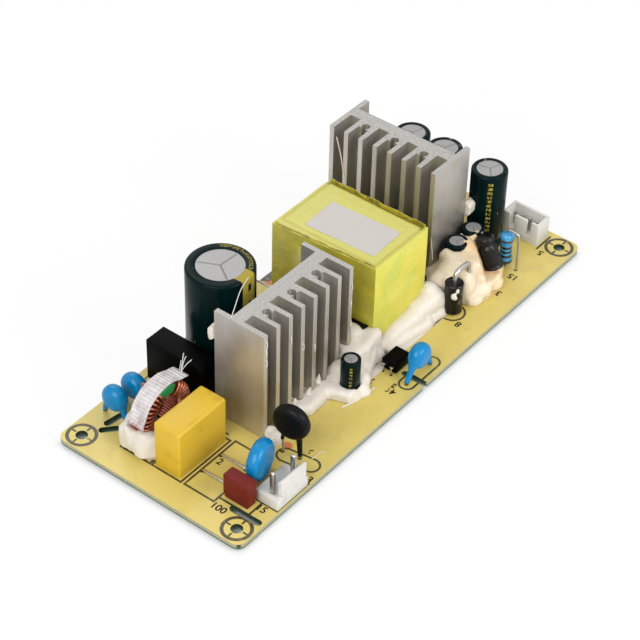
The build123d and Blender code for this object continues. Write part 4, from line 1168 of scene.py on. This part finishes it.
def tape_finish(look):
    """Yellow polyester tape: glossy, with creases, darker folds and dust under it, and painted
    shade on its left and top faces.
    """
    low, high = box("transformer_core")
    spot, half = (low + high) / 2, (high - low) / 2
    finish = Finish("Wound tape", Specular_IOR_Level=0.45)
    x, y, z = finish.axes()
    nx, ny, nz = finish.facing()
    cloud = finish.noise(9.0, 4.0, 0.6)
    olive = tone(168, 160, 44)
    lid = nz.above(0.7, 0.2)
    upright = 1 - lid
    front = (-1 * ny).above(0.6, 0.3)
    panel = front & finish.noise(8.0, 2.0, 0.4, shift=7.0).above(0.5, 0.12)
    rim = (abs(x - spot.x) - half.x) | (abs(y - spot.y) - half.y)
    rim = rim + finish.noise(2.0, 3.0) * 0.7
    fold = lid & rim.between(-0.75, 0.15, 0.5)
    back = fold & x.above(high.x - 1.6, 1.2)
    seam = lid & rim.between(-3.3, -2.95, 0.15) & finish.noise(1.0, 3.0).above(0.45, 0.1)
    wall = upright * finish.noise(6.0, 3.0, shift=2.0).above(0.52, 0.3)
    specks = finish.noise(0.8, 4.0, 0.7, shift=6.0).above(0.66, 0.03)
    layers = z.between(12.2, 12.5, 0.2) * upright
    base = finish.layers(
        finish.mix(cloud.above(0.55, 0.3) * 0.55, look.tape, tone(192, 204, 96)),
        # painted shade on the faces turned to the left
        ((-1 * nx).above(0.6, 0.3) * 0.75, tone(146, 138, 44)),
        (panel * 0.5, tone(178, 200, 84)),
        # painted shade: the top faces darker and duller than the sides
        (lid * 0.8, tone(190, 186, 98)),
        (fold * 0.6, olive),
        (back * 0.75, tone(84, 74, 16)),
        (seam * 0.3, olive),
        (wall * 0.45, tone(214, 200, 44)),
        (z.below(12.0, 0.5) * upright * 0.3, tone(206, 196, 60)),
        (specks * (0.35 + 0.45 * front), tone(120, 92, 30)),
        (layers * 0.2, olive),
    )
    finish.set(Base_Color=base, Roughness=0.3 + cloud * 0.15)
    finish.bump(finish.noise(3.2, 4.0, 0.6, (1, 1, 0.5)) + layers * 0.15, 0.3)
    return finish.material


def bulge(place, low, high):
    """How far the tape stands out to the left of the core, more towards the back."""
    share = min(1, max(0, (place.y - low.y) / (high.y - low.y)))
    reach = min(1, max(0, (low.x + 7.0 - place.x) / 7.0))
    return 2.0 * share * reach


def divided(piece, cuts):
    """Cuts each edge of a piece, so that it can bend."""
    edit(piece)
    bpy.ops.mesh.subdivide(number_cuts=cuts)
    free()
    return piece


class PSU_OT_transformer(bpy.types.Operator):
    """Wrap the transformer in tape, with its label, rails, pins and core"""

    bl_idname = "psu.transformer"
    bl_label = "Transformer"

    def execute(self, context):
        look = context.scene.psu_transformer
        core_low, core_high = box("transformer_core")
        self.tape(look, core_low, core_high)
        self.folds(core_low, core_high)
        label = divided(merged_copy("transformer_label_cut", "transformer_label"), 6)
        finish = Finish("Label", Coat_Weight=0.25, Roughness=0.42)
        shade = tuple(look.label)
        finish.set(Base_Color=finish.mix(finish.noise(6.0, 3.0, 0.5), shade, darker(shade, 0.92)))
        finish.bump(finish.noise(3.5, 2.0), 0.1)
        shown(smooth(label), finish.material, "pale_label", "transformer_label")
        ferrite = plastic("Ferrite", tuple(look.ferrite), rough=0.65, grain=0.3, depth=0.04)
        finished("transformer_core", ferrite, "ferrite", 0.25)
        black = plastic("Bobbin", tone(11, 11, 12), rough=0.45, shine=0.12)
        finished("transformer_bobbin", black, "black_moulding", 0.15)
        paint_node("transformer_winding", metal("Magnet wire", tone(160, 84, 50), 0.35, 0.6))
        paint_node("transformer_pins", metal("Transformer pins", tone(190, 190, 192)))
        return {"FINISHED"}

    def tape(self, look, core_low, core_high):
        """The tape, closed round the winding with a rounded shoulder."""
        low, high = box("transformer_tape")
        spot, reach = (low + high) / 2, (high.x - low.x) / 2
        skirt, crest = core_high.z - 5.2, core_high.z - 4.4
        curve = [(0.1, 0), (0.6, 0.9), (1.6, 2.0), (3.1, 3.0)]
        shoulder = [(0, skirt), (reach - 0.1, skirt)]
        shoulder += [(reach - inward, crest + up) for inward, up in curve] + [(0, crest + 3.1)]
        shell = merged_copy("transformer_tape_wound", "transformer_tape")
        tape = [shell, turned("shoulder", shoulder, spot.x, spot.y, 64)]
        tape = rounded(together("transformer_tape_wound", tape), 0.9, 4, 40)
        divided(modify(tape, "TRIANGULATE"), 3)
        for vertex in tape.data.vertices:
            vertex.co.x -= bulge(vertex.co / MM, core_low, core_high) * MM
        crumpled(tape, 0.35, 6.0)
        shown(smooth(tape, 30), tape_finish(look), "yellow_tape", "transformer_tape")

    def folds(self, low, high):
        """The tape's edges, folded up and darker along the two long sides of the top."""
        finish = Finish("Folded tape", Specular_IOR_Level=0.5, Roughness=0.25)
        worn = finish.noise(2.0, 4.0, 0.6)
        shade = finish.mix(worn.above(0.45, 0.3), tone(96, 84, 16), tone(172, 158, 40))
        finish.set(Base_Color=shade)
        finish.bump(worn, 0.15)
        strips = []
        count = 14
        for x, rise, sway in ((high.x - 0.2, 0.75, 0.25), (low.x + 0.1, 0.3, 0.2)):
            points = []
            for i in range(count + 1):
                y = low.y + 0.3 + (high.y - low.y - 0.6) * i / count
                out = bulge(Vector((x, y, 0)), low, high)
                points.append((x - out + sway * sin(i * 1.9), y))
            strip = ribbon("fold", points, rise, 0.35)
            strip.location.z = (high.z + 0.25 + rise * 0.4) * MM
            strips.append(settle(strip))
        folds = smooth(crumpled(together("transformer_tape_folds", strips), 0.35, 2.5), 60)
        shown(folds, finish.material, "yellow_tape")


def silicone(name, shade, stain, share, place=None):
    """Cured silicone: waxy and uneven, with grime in its hollows and browner at one place."""
    finish = Finish(
        name,
        Subsurface_Weight=0.1,
        Subsurface_Radius=(1.0, 0.8, 0.6),
        Subsurface_Scale=0.5 * MM,
        Specular_IOR_Level=0.4,
    )
    cloud = finish.noise(5.5, 4.0, 0.6)
    grime = finish.noise(2.6, 5.0, 0.7, shift=3.0).above(0.63, 0.1)
    base = finish.mix(cloud.above(0.55, 0.3) * share, shade, stain)
    if place:
        x, y, z = finish.axes()
        away = ((x - place[0]) ** 2 + (y - place[1]) ** 2) ** 0.5
        near = away.below(6.5, 8.0)
        dark_patch = near & finish.noise(2.6, 4.0, 0.6, shift=6.0).above(0.58, 0.1)
        brown = ((near * 0.75, tone(236, 200, 146)), (dark_patch * 0.6, tone(206, 140, 76)))
        base = finish.layers(base, *brown)
    finish.set(Base_Color=finish.mix(grime * 0.18, base, darker(stain, 0.55)))
    finish.set(Roughness=0.36 + (cloud - 0.5) * 0.3)
    finish.bump(finish.noise(2.0, 4.0, 0.6), 0.16)
    return finish.material


def level(piece):
    """Cuts a piece off at the board's surface."""
    edit(piece)
    bpy.ops.mesh.bisect(plane_co=(0, 0, 0), plane_no=(0, 0, 1), clear_inner=True, use_fill=True)
    free()
    return smooth(piece, 60)


def lumps_at(x, y, *lumps):
    """Lumps at offsets from a place: x, y, height, radius and squash."""
    return [((x + dx, y + dy, z), radius, squash) for dx, dy, z, radius, squash in lumps]


def bars_at(x, y, *bars):
    """Bars at offsets from a place: the foot's x, y and z, the head's, and a radius at each."""
    return [
        ((x + ax, y + ay, az), (x + bx, y + by, bz), foot, head)
        for ax, ay, az, bx, by, bz, foot, head in bars
    ]


# Threads that the nozzle drew: a radius and the points they run through, in millimetres
THREADS = (
    (0.13, (-41.8, 0.2, 33.9), (-36.0, 3.2, 34.3), (-31.5, 5.6, 34.1), (-27.6, 6.6, 34.2)),
    (0.16, (35.1, 27.5, 33.2), (35.1, 26.0, 28.6), (35.1, 25.0, 23.8), (35.1, 24.2, 19.2)),
    (0.1, (-40.4, -24.6, 0.15), (-38.2, -25.4, 0.5), (-36.9, -24.4, 0.2), (-36.4, -26.0, 0.12)),
    (0.22, (-20.6, -18.8, 0.15), (-16.0, -20.8, 0.4), (-12.4, -20.6, 0.3), (-9.4, -20.8, 0.2)),
    (0.25, (-17.4, -19.4, 0.5), (-14.0, -20.2, 0.6), (-10.8, -19.2, 0.8)),
    (0.12, (35.1, -5.6, 14.6), (35.0, -6.3, 11.4), (34.8, -6.8, 8.0)),
    (0.28, (-19.6, 11.8, 26.0), (-19.3, 9.0, 26.1), (-20.2, 4.6, 26.8)),
    (0.3, (-19.6, 11.8, 26.1), (-19.4, 11.2, 21.0), (-19.5, 11.0, 12.0)),
)
# Burrs on the first heatsink: the fin, counted from the left, and the height
BURRS = ((0, 31.0), (0, 28.4), (0, 25.0), (2, 26.0), (3, 20.6))
BURRS += ((4, 17.0), (7, 27.5), (7, 22.0), (7, 15.6))


class PSU_OT_silicone(bpy.types.Operator):
    """Pour the silicone round the parts"""

    bl_idname = "psu.silicone"
    bl_label = "Silicone"

    def execute(self, context):
        look = context.scene.psu_silicone
        rod = middle("rod_choke_core")
        white = silicone("White silicone", tuple(look.white), tone(212, 202, 188), 0.5)
        aged = tone(214, 196, 166)
        cream = silicone("Cream silicone", tuple(look.cream), aged, 0.6, (rod.x, rod.y))
        ring = middle("choke_core")
        lumps = lumps_at(ring.x, ring.y, (-7.6, -1.2, 3.4, 3.4, 1.15), (-6.4, -4.4, 2.2, 2.6, 1.1))
        bars = bars_at(
            ring.x,
            ring.y,
            (-6.4, -4.8, 1.0, -5.4, -3.9, 7.2, 2.8, 1.8),
            (-8.4, -2.2, 1.0, -8.2, -2.0, 8.0, 3.0, 1.7),
            (-7.4, 1.2, 2.0, -10.2, 2.6, 8.6, 3.4, 0.5),
            (-7.4, 3.4, 1.0, -8.6, 4.6, 6.4, 3.2, 1.4),
        )
        self.pour("choke_silicone", lumps, bars, look, white, 16, 0.35)
        self.front(look, white)
        self.fins(white)
        self.output(look, cream, rod)
        dabs = merged_copy("silicone_dabs_smeared", "silicone_dabs")
        shown(melted(dabs, 0.25, 6, 0.5, 1.6), white, "white_silicone", "silicone_dabs")
        self.crumbs(white)
        return {"FINISHED"}

    def pour(self, node, lumps, bars, look, material, rounds, relief, size=4.6):
        """Melts a node's copy and its lumps into one mass, kept above the board."""
        name = f"{node}_poured"
        parts = [merged_copy(name, node)]
        parts += [ball(*lump) for lump in lumps]
        parts += [tapered(*bar) for bar in bars]
        piece = melted(together(name, parts), look.voxel, rounds, relief * look.lumps, size)
        level(modify(piece, "SMOOTH", factor=0.5, iterations=2))
        slot = "cream_silicone" if node == "output_silicone" else "white_silicone"
        return shown(piece, material, slot, node)

    def front(self, look, white):
        """The long mass along the first heatsink's fins and the transformer's foot."""
        low, high = [pair for pair in islands("capacitor_sleeves") if pair[0].x < 0][-1]
        cap = (low + high) / 2
        low, high = box("transformer_tape")
        lumps = lumps_at(
            low.x,
            low.y,
            (-1.8, 4.0, 5.8, 4.1, 1.1),
            (-3.2, 1.2, 4.8, 3.8, 1.1),
            (-1.0, -1.0, 2.8, 3.2, 1.0),
            (1.4, -2.6, 1.5, 2.4, 0.9),
        )
        lumps += lumps_at(
            cap.x,
            cap.y,
            (3.4, 2.4, 3.4, 3.3, 1.15),
            (3.8, -0.8, 1.9, 2.6, 1.0),
            (0.6, 3.8, 4.2, 3.0, 1.1),
            (-1.4, -2.6, 0.5, 1.9, 0.7),
            (1.6, -3.4, 0.6, 2.0, 0.7),
        )
        lumps += lumps_at(high.x, low.y, (-1.6, -0.9, 5.4, 3.2, 1.2))
        width = high.x - low.x
        bars = bars_at(
            low.x,
            low.y,
            (4.0, -0.8, 1.2, 12.0, -1.2, 2.0, 2.3, 2.7),
            (11.0, -1.0, 2.2, 20.0, -1.8, 2.8, 2.5, 3.3),
            (19.0, -1.2, 3.4, width + 0.5, -2.2, 4.6, 3.0, 3.9),
            (5.0, -2.8, 0.4, 14.0, -3.5, 0.5, 1.5, 1.9),
            (12.0, -3.4, 0.3, 22.0, -4.2, 0.6, 1.7, 2.2),
            (20.0, -3.2, 0.5, width + 0.8, -4.0, 0.8, 2.2, 2.6),
        )
        self.pour("front_silicone", lumps, bars, look, white, 8, 0.5, 5.0)

    def fins(self, white):
        """Torn peaks between the first heatsink's fins, higher towards the transformer."""
        sink = box("primary_heatsink")[0]
        peaks = []
        for i in range(1, 7):
            foot = Vector((sink.x + 0.75 + (i + 0.5) * FIN_PITCH, sink.y + 1.4, 0.4))
            height = 2.4 + 0.9 * i
            for dx, y, top, radius in (
                (0.6, 0.5 * (-1) ** i, height, 2.0),
                (-1.2, -1.4, height * 0.7, 1.8),
                (0.4, -3.0, height * 0.45, 1.7),
                (-2.2, -3.6, 0.7, 1.9),
            ):
                peaks.append(tapered(foot, (foot.x + dx, sink.y + y, top), radius, 0.25))
        torn = melted(together("fin_silicone_torn", peaks), 0.26, 2, 0.8, 2.4)
        shown(level(torn), white, "white_silicone")

    def output(self, look, cream, rod):
        """The cream mass that holds the diode's lead, the small capacitors and the rod choke."""
        lumps = lumps_at(
            rod.x,
            rod.y,
            (-16.6, 4.6, 4.4, 4.2, 1.15),
            (-12.4, 4.2, 5.4, 4.2, 1.2),
            (-12.7, -0.7, 5.8, 3.4, 1.4),
            (-8.6, 1.6, 5.4, 4.0, 1.2),
            (-5.0, 0.2, 5.4, 3.6, 1.35),
            (-3.4, 5.4, 8.0, 3.2, 1.15),
            (1.6, 5.4, 8.2, 3.0, 1.15),
            (3.0, 2.4, 4.6, 2.0, 1.8),
            (-2.6, -3.6, 1.4, 3.0, 0.8),
            (-7.6, -2.8, 2.0, 3.4, 0.8),
            (-11.6, -3.4, 1.2, 2.8, 0.7),
        )
        piece = self.pour("output_silicone", lumps, [], look, cream, 9, 0.7)
        self.trench(piece, *rod_line(), 3.0, Vector((-0.667, -0.406, 0.624)))
        smooth(modify(piece, "SMOOTH", factor=0.5, iterations=2), 50)

    def trench(self, piece, foot, head, radius, toward):
        """Presses the bed of the leaning rod choke into the mass, open to one side."""
        axis = (head - foot).normalized()
        toward = (toward - axis * toward.dot(axis)).normalized()
        side = axis.cross(toward)
        reach = (head - foot).length + 2.0
        for vertex in piece.data.vertices:
            off = vertex.co / MM - foot
            aside = off.dot(side)
            if not (0.5 < off.dot(axis) < reach and abs(aside) < radius):
                continue
            bed = -sqrt(radius**2 - aside**2)
            if off.dot(toward) > bed:
                vertex.co += toward * (bed - off.dot(toward)) * MM
                vertex.co.z = max(vertex.co.z, 0.0)

    def crumbs(self, white):
        """Loose ends: a dab by the thermistor, a smear on the diode, threads and burrs."""
        sink = box("primary_heatsink")[0]
        spot = (sink.x + 1.4, sink.y - 2.4)
        lumps = [(0, 0, 0.8, 2.4, 1.0), (2.6, -0.2, 0.6, 1.7, 0.9), (0.4, 1.6, 1.7, 1.8, 1.0)]
        lumps = lumps_at(*spot, *lumps)
        dab = together("silicone_foot_dab", [ball(*lump) for lump in lumps])
        shown(level(melted(dab, 0.3, 5, 0.7, 2.2)), white, "white_silicone")
        low, high = box("standing_diode_body")
        spot, out = (low + high) / 2, (high.x - low.x) / 2 - 0.15
        smears = []
        places = [(236, 1.2, 0.55), (224, 2.1, 0.4), (214, 3.0, 0.75), (226, 3.6, 0.5)]
        for turn, drop, radius in places:
            x, y = heading(turn)
            smears.append(ball((spot.x + x * out, spot.y + y * out, high.z - drop), radius, 1.5))
        smeared = melted(together("diode_smears", smears), 0.12, 4, 0.15, 0.9)
        shown(smeared, white, "white_silicone")
        threads = [wire("thread", points, radius) for radius, *points in THREADS]
        edge = sink.y - 0.05
        for i, (fin, height) in enumerate(BURRS):
            x = sink.x + 0.9 + fin * FIN_PITCH
            bent = (x + 0.35 * (-1) ** i, edge - 0.3, height)
            burr = [(x, edge, height + 1.2), bent, (x, edge, height - 1.0)]
            threads.append(wire("thread", burr, 0.14))
        shown(together("silicone_threads", threads), white, "white_silicone")


def rod_line():
    """The ends of the rod choke, which leans back into the cream mass."""
    centre = middle("rod_choke_core")
    return centre + Vector((1.0, -1.5, -4.6)), centre + Vector((0.6, 2.5, 4.8))


def banded(look):
    """Lacquer with colour bands round the resistor."""
    low, high = box("standing_resistor_body")
    finish = Finish("Resistor lacquer", Coat_Weight=0.5, Roughness=0.32)
    z = finish.axes()[2]
    shade = finish.uneven(finish.noise(2.0, 3.0), look.resistor, 0.8)
    dark, brown = tone(12, 14, 18), tone(70, 50, 34)
    for share, ink in ((0.12, dark), (0.29, dark), (0.43, dark), (0.57, dark), (0.8, brown)):
        place = low.z + (high.z - low.z) * share
        shade = finish.mix(z.between(place - 0.38, place + 0.38, 0.08), shade, ink)
    finish.set(Base_Color=shade)
    finish.bump(finish.noise(1.0, 2.0), 0.03)
    return finish.material


class PSU_OT_small_parts(bpy.types.Operator):
    """Finish the boxes, headers, standing parts and jumpers"""

    bl_idname = "psu.small_parts"
    bl_label = "Small Parts"

    def execute(self, context):
        look = context.scene.psu_small
        tin = metal("Tinned leads", tone(192, 190, 188))
        skin = {"rough": 0.32, "grain": 1.0, "depth": 0.03, "dirt": 0.3}
        yellow = plastic("Yellow case", tuple(look.yellow), dirt_shade=tone(150, 118, 30), **skin)
        red = plastic("Fuse case", tuple(look.red), rough=0.4, grain=0.5, shine=0.15)
        skin = {"rough": 0.4, "grain": 0.8, "dirt": 0.35}
        white = plastic("Header plastic", tuple(look.white), dirt_shade=tone(150, 140, 120), **skin)
        skin = {"rough": 0.5, "grain": 0.3, "depth": 0.03, "shine": 0.04}
        black = plastic("Black moulding", tuple(look.black), **skin)
        film = merged_copy("film_capacitor_finished", "film_capacitor_case")
        shown(rounded(film, 0.3, 3), yellow, "yellow_case", "film_capacitor_case")
        for node, material, slot, edge, segments in (
            ("fuse_cap", red, "red_case", 0.2, 3),
            ("fuse_base", red, "red_case", 0.1, 2),
            ("mains_header_body", white, "white_plastic", 0.22, 2),
            ("output_header_body", white, "white_plastic", 0.15, 2),
            ("bridge_rectifier_body", black, "black_moulding", 0.2, 2),
            ("optocoupler_body", black, "black_moulding", 0.1, 2),
            ("optocoupler_legs", tin, "tinned_metal", 0.06, 2),
            ("mains_header_pins", tin, "tinned_metal", 0.1, 2),
            ("output_header_pins", tin, "tinned_metal", 0.06, 2),
        ):
            finished(node, material, slot, edge, segments)
        self.diode(tin)
        self.rod_choke()
        self.resistor(look, tin)
        for node in ("film_capacitor", "fuse", "bridge_rectifier", "rod_choke"):
            paint_node(f"{node}_leads", tin)
        wires = []
        for low, high in islands("jumper_wires"):
            x, top = (low.x + high.x) / 2, high.z - 0.33
            points = []
            for y, inward in ((low.y + 0.35, 1), (high.y - 0.35, -1)):
                leg = [(x, y, UNDERSIDE), (x, y, -0.1)]
                leg += [(x, y + inward * 0.15, top), (x, y + inward * 0.9, top)]
                points += leg[::inward]
            wires.append(wire("jumper", points, 0.32))
        shown(together("jumper_wires_bent", wires), tin, "tinned_metal", "jumper_wires")
        return {"FINISHED"}

    def leads(self, node, material, *wires):
        """Bends a part's leads: a name, the points and a radius for each."""
        bent = together(f"{node}_bent", [wire(*each) for each in wires])
        shown(bent, material, "tinned_metal", node)

    def diode(self, tin):
        """The standing diode, with its thick lead bent over."""
        low, high = box("standing_diode_body")
        spot, radius = (low + high) / 2, (high.x - low.x) / 2
        profile = [(0, low.z), (radius - 0.2, low.z), (radius, low.z + 0.2), (radius, high.z - 0.2)]
        profile += [(radius - 0.2, high.z), (0.9, high.z), (0, high.z)]
        body = smooth(turned("standing_diode_turned", profile, spot.x, spot.y, 48))
        skin = {"rough": 0.2, "dirt": 0.3, "shine": 0.25}
        gloss = plastic("Diode body", tone(8, 8, 8), dirt_shade=tone(150, 146, 140), **skin)
        shown(body, gloss, "black_moulding", "standing_diode_body")
        corner = box("standing_diode_leads")[1]
        far, crest = corner.x - 0.62, corner.z - 1.5
        x, y = spot.x, spot.y
        arch = [(x, y, high.z - 0.3), (x, y, crest - 1.9), (x + 0.5, y, crest - 0.3)]
        arch += [(x + 2.4, y, crest + 0.15), (far - 2.2, y, crest + 0.1)]
        arch += [(far - 0.3, y, crest - 0.5), (far, y, crest - 2.4), (far, y, UNDERSIDE)]
        stub = [(x, y, UNDERSIDE), (x, y, 0.2), (x, y, low.z + 0.3)]
        self.leads("standing_diode_leads", tin, ("arch", arch, 0.66), ("stub", stub, 0.6))

    def rod_choke(self):
        """The rod choke, in a sleeve that shrank over its turns and cap."""
        low, high = box("rod_choke_core")
        radius = (high.x - low.x) / 2
        foot, head = rod_line()
        tall = (head - foot).length
        profile = [(0, 0), (0.9, 0), (1, 0.5), (1, 1.0)]
        ridges, ridged = 7, tall - 4.6
        for i in range(ridges):
            at = 1.2 + ridged * i / ridges
            profile += [(0.88, at), (0.98, at + ridged / ridges * 0.5)]
        profile += [(0.9, tall - 3.2), (0.72, tall - 2.7), (0.72, tall - 2.2), (0.95, tall - 1.8)]
        profile += [(0.95, tall - 0.6), (0.82, tall - 0.1), (0.55, tall), (0, tall - 0.15)]
        profile = [(radius * share, z) for share, z in profile]
        body = turned("rod_choke_turned", profile, 0, 0, 40)
        body.rotation_euler = (head - foot).to_track_quat("Z", "Y").to_euler()
        body.location = foot * MM
        shrunk = plastic("Shrunk sleeve", tone(9, 9, 10), rough=0.26, grain=1.4, depth=0.2)
        shown(soft(settle(body)), shrunk, "black_moulding", "rod_choke_core")

    def resistor(self, look, tin):
        """The standing resistor, thicker at its ends, with one lead bent back down."""
        low, high = box("standing_resistor_body")
        spot, radius = (low + high) / 2, (high.x - low.x) / 2
        half = [(0.6, 0.05), (1, 0.7), (1, 2.2), (0.84, 3.0)]
        profile = [(0, low.z)] + [(radius * share, low.z + z) for share, z in half]
        profile += [(radius * share, high.z - z) for share, z in half[::-1]] + [(0, high.z)]
        body = soft(turned("standing_resistor_turned", profile, spot.x, spot.y, 40))
        shown(body, banded(look), "resistor_lacquer", "standing_resistor_body")
        lead_low, lead_high = box("standing_resistor_leads")
        crest, near = lead_high.z - 0.35, lead_low.y + 0.35
        x, y = spot.x, spot.y
        arch = [(x, y, high.z - 0.2), (x, y, crest - 0.1), (x, y - 0.8, crest)]
        arch += [(x, near + 0.8, crest), (x, near, crest - 0.4), (x, near, 4.0)]
        arch.append((x, near, UNDERSIDE))
        stub = [(x, y, UNDERSIDE), (x, y, 0.0), (x, y, low.z + 0.3)]
        self.leads("standing_resistor_leads", tin, ("arch", arch, 0.33), ("stub", stub, 0.33))


GLOW = 0.86  # how much of the floor's shade is plain white to the camera
LAMPS = (  # name, place in metres, size in metres and watts
    ("key", (-1.15, -0.2, 1.0), 1.0, 15.0),
    ("fill", (0.2, -1.45, 0.95), 1.0, 17.0),
    ("rear", (0.6, 1.0, 1.1), 0.9, 5.0),
)


class PSU_OT_stage(bpy.types.Operator):
    """Set the floor, the lamps and the camera"""

    bl_idname = "psu.stage"
    bl_label = "Stage"

    def execute(self, context):
        look = context.scene.psu_stage
        self.floor(look)
        self.world(context, look)
        for name, place, size, watts in LAMPS:
            free()
            bpy.ops.object.light_add(type="AREA", location=place)
            lamp = bpy.context.object
            lamp.name = name
            lamp.data.size = size
            lamp.data.energy = watts * look.lamps
            lamp.rotation_euler = Vector(place).to_track_quat("Z", "Y").to_euler()
        self.camera(context, look)
        return {"FINISHED"}

    def floor(self, look):
        """A pale floor that glows for the camera, less so right under the board."""
        free()
        bpy.ops.mesh.primitive_plane_add(size=6.0, location=(0, 0, CAD_BOX[0].z))
        floor = settle(named("floor"))
        finish = Finish("Floor", Base_Color=tuple(look.floor), Roughness=0.9)
        seen = finish.ray("Camera") | finish.ray("Glossy")
        white = finish.node("ShaderNodeEmission", None, {"Color": (1, 1, 1), "Strength": 1.0})
        shader = Value(finish, finish.shader.outputs[0])
        x, y, z = finish.axes()
        low, high = CAD_BOX[0] / MM, CAD_BOX[1] / MM
        under = x.between(low.x, high.x, 2.5) & y.between(low.y, high.y, 2.5)
        lit = seen * (GLOW - under * GLOW)
        mixed = finish.node("ShaderNodeMixShader", None, {0: lit, 1: shader, 2: white})
        finish.feed(finish.tree.nodes["Material Output"].inputs["Surface"], mixed)
        floor.data.materials.append(finish.material)

    def world(self, context, look):
        """Even light from all round, and white where the camera or a reflection sees past."""
        context.scene.world = bpy.data.worlds.new("Studio")
        sky = Nodes(context.scene.world)
        seen = sky.ray("Camera") | (sky.ray("Transmission") | sky.ray("Glossy"))
        sockets = {"Value": seen, "To Min": look.sky, "To Max": 1.0}
        background = sky.tree.nodes["Background"]
        sky.feed(background.inputs["Strength"], sky.node("ShaderNodeMapRange", None, sockets))
        sky.feed(background.inputs["Color"], (1, 1, 1))

    def camera(self, context, look):
        """The camera at the photograph's place and turn."""
        free()
        bpy.ops.object.camera_add(location=look.place)
        camera = bpy.context.object
        flat = cos(look.tilt)
        back = Vector((sin(look.turn) * flat, -cos(look.turn) * flat, sin(look.tilt)))
        right = Vector((0, 0, 1)).cross(back).normalized()
        up = back.cross(right)
        across = cos(look.roll) * right + sin(look.roll) * up
        upward = -sin(look.roll) * right + cos(look.roll) * up
        camera.rotation_euler = Matrix((across, upward, back)).transposed().to_euler()
        camera.data.lens = look.lens
        camera.data.sensor_width = 36
        camera.data.clip_start = 0.01
        camera.data.clip_end = 20
        context.scene.camera = camera
        context.scene.view_settings.view_transform = "Standard"


STEPS = (
    PSU_OT_board,
    PSU_OT_heatsinks,
    PSU_OT_capacitors,
    PSU_OT_choke,
    PSU_OT_dipped,
    PSU_OT_transformer,
    PSU_OT_silicone,
    PSU_OT_small_parts,
    PSU_OT_stage,
)


class PSU_PT_panel(bpy.types.Panel):
    """Lists the looks and the steps that make the module"""

    bl_idname = "PSU_PT_panel"
    bl_label = "Power Supply"
    bl_space_type = "VIEW_3D"
    bl_region_type = "UI"
    bl_category = "Power Supply"

    def draw(self, context):
        layout = self.layout
        for step in STEPS:
            layout.operator(step.bl_idname, text=step.bl_label)
        for name, group in LOOKS.items():
            column = layout.column(align=True)
            column.label(text=group.__name__)
            for setting in group.__annotations__:
                column.prop(getattr(context.scene, name), setting)


def register():
    """Adds the looks, the steps and the panel to Blender."""
    for name, group in LOOKS.items():
        bpy.utils.register_class(group)
        setattr(bpy.types.Scene, name, bpy.props.PointerProperty(type=group))
    for step in (*STEPS, PSU_PT_panel):
        bpy.utils.register_class(step)


def unregister():
    """Takes them out again."""
    for step in reversed((*STEPS, PSU_PT_panel)):
        bpy.utils.unregister_class(step)
    for name, group in LOOKS.items():
        delattr(bpy.types.Scene, name)
        bpy.utils.unregister_class(group)


def main():
    """Makes every piece in order."""
    register()
    bpy.ops.psu.board()
    bpy.ops.psu.heatsinks()
    bpy.ops.psu.capacitors()
    bpy.ops.psu.choke()
    bpy.ops.psu.dipped()
    bpy.ops.psu.transformer()
    bpy.ops.psu.silicone()
    bpy.ops.psu.small_parts()
    bpy.ops.psu.stage()


if __name__ == "__main__":
    main()
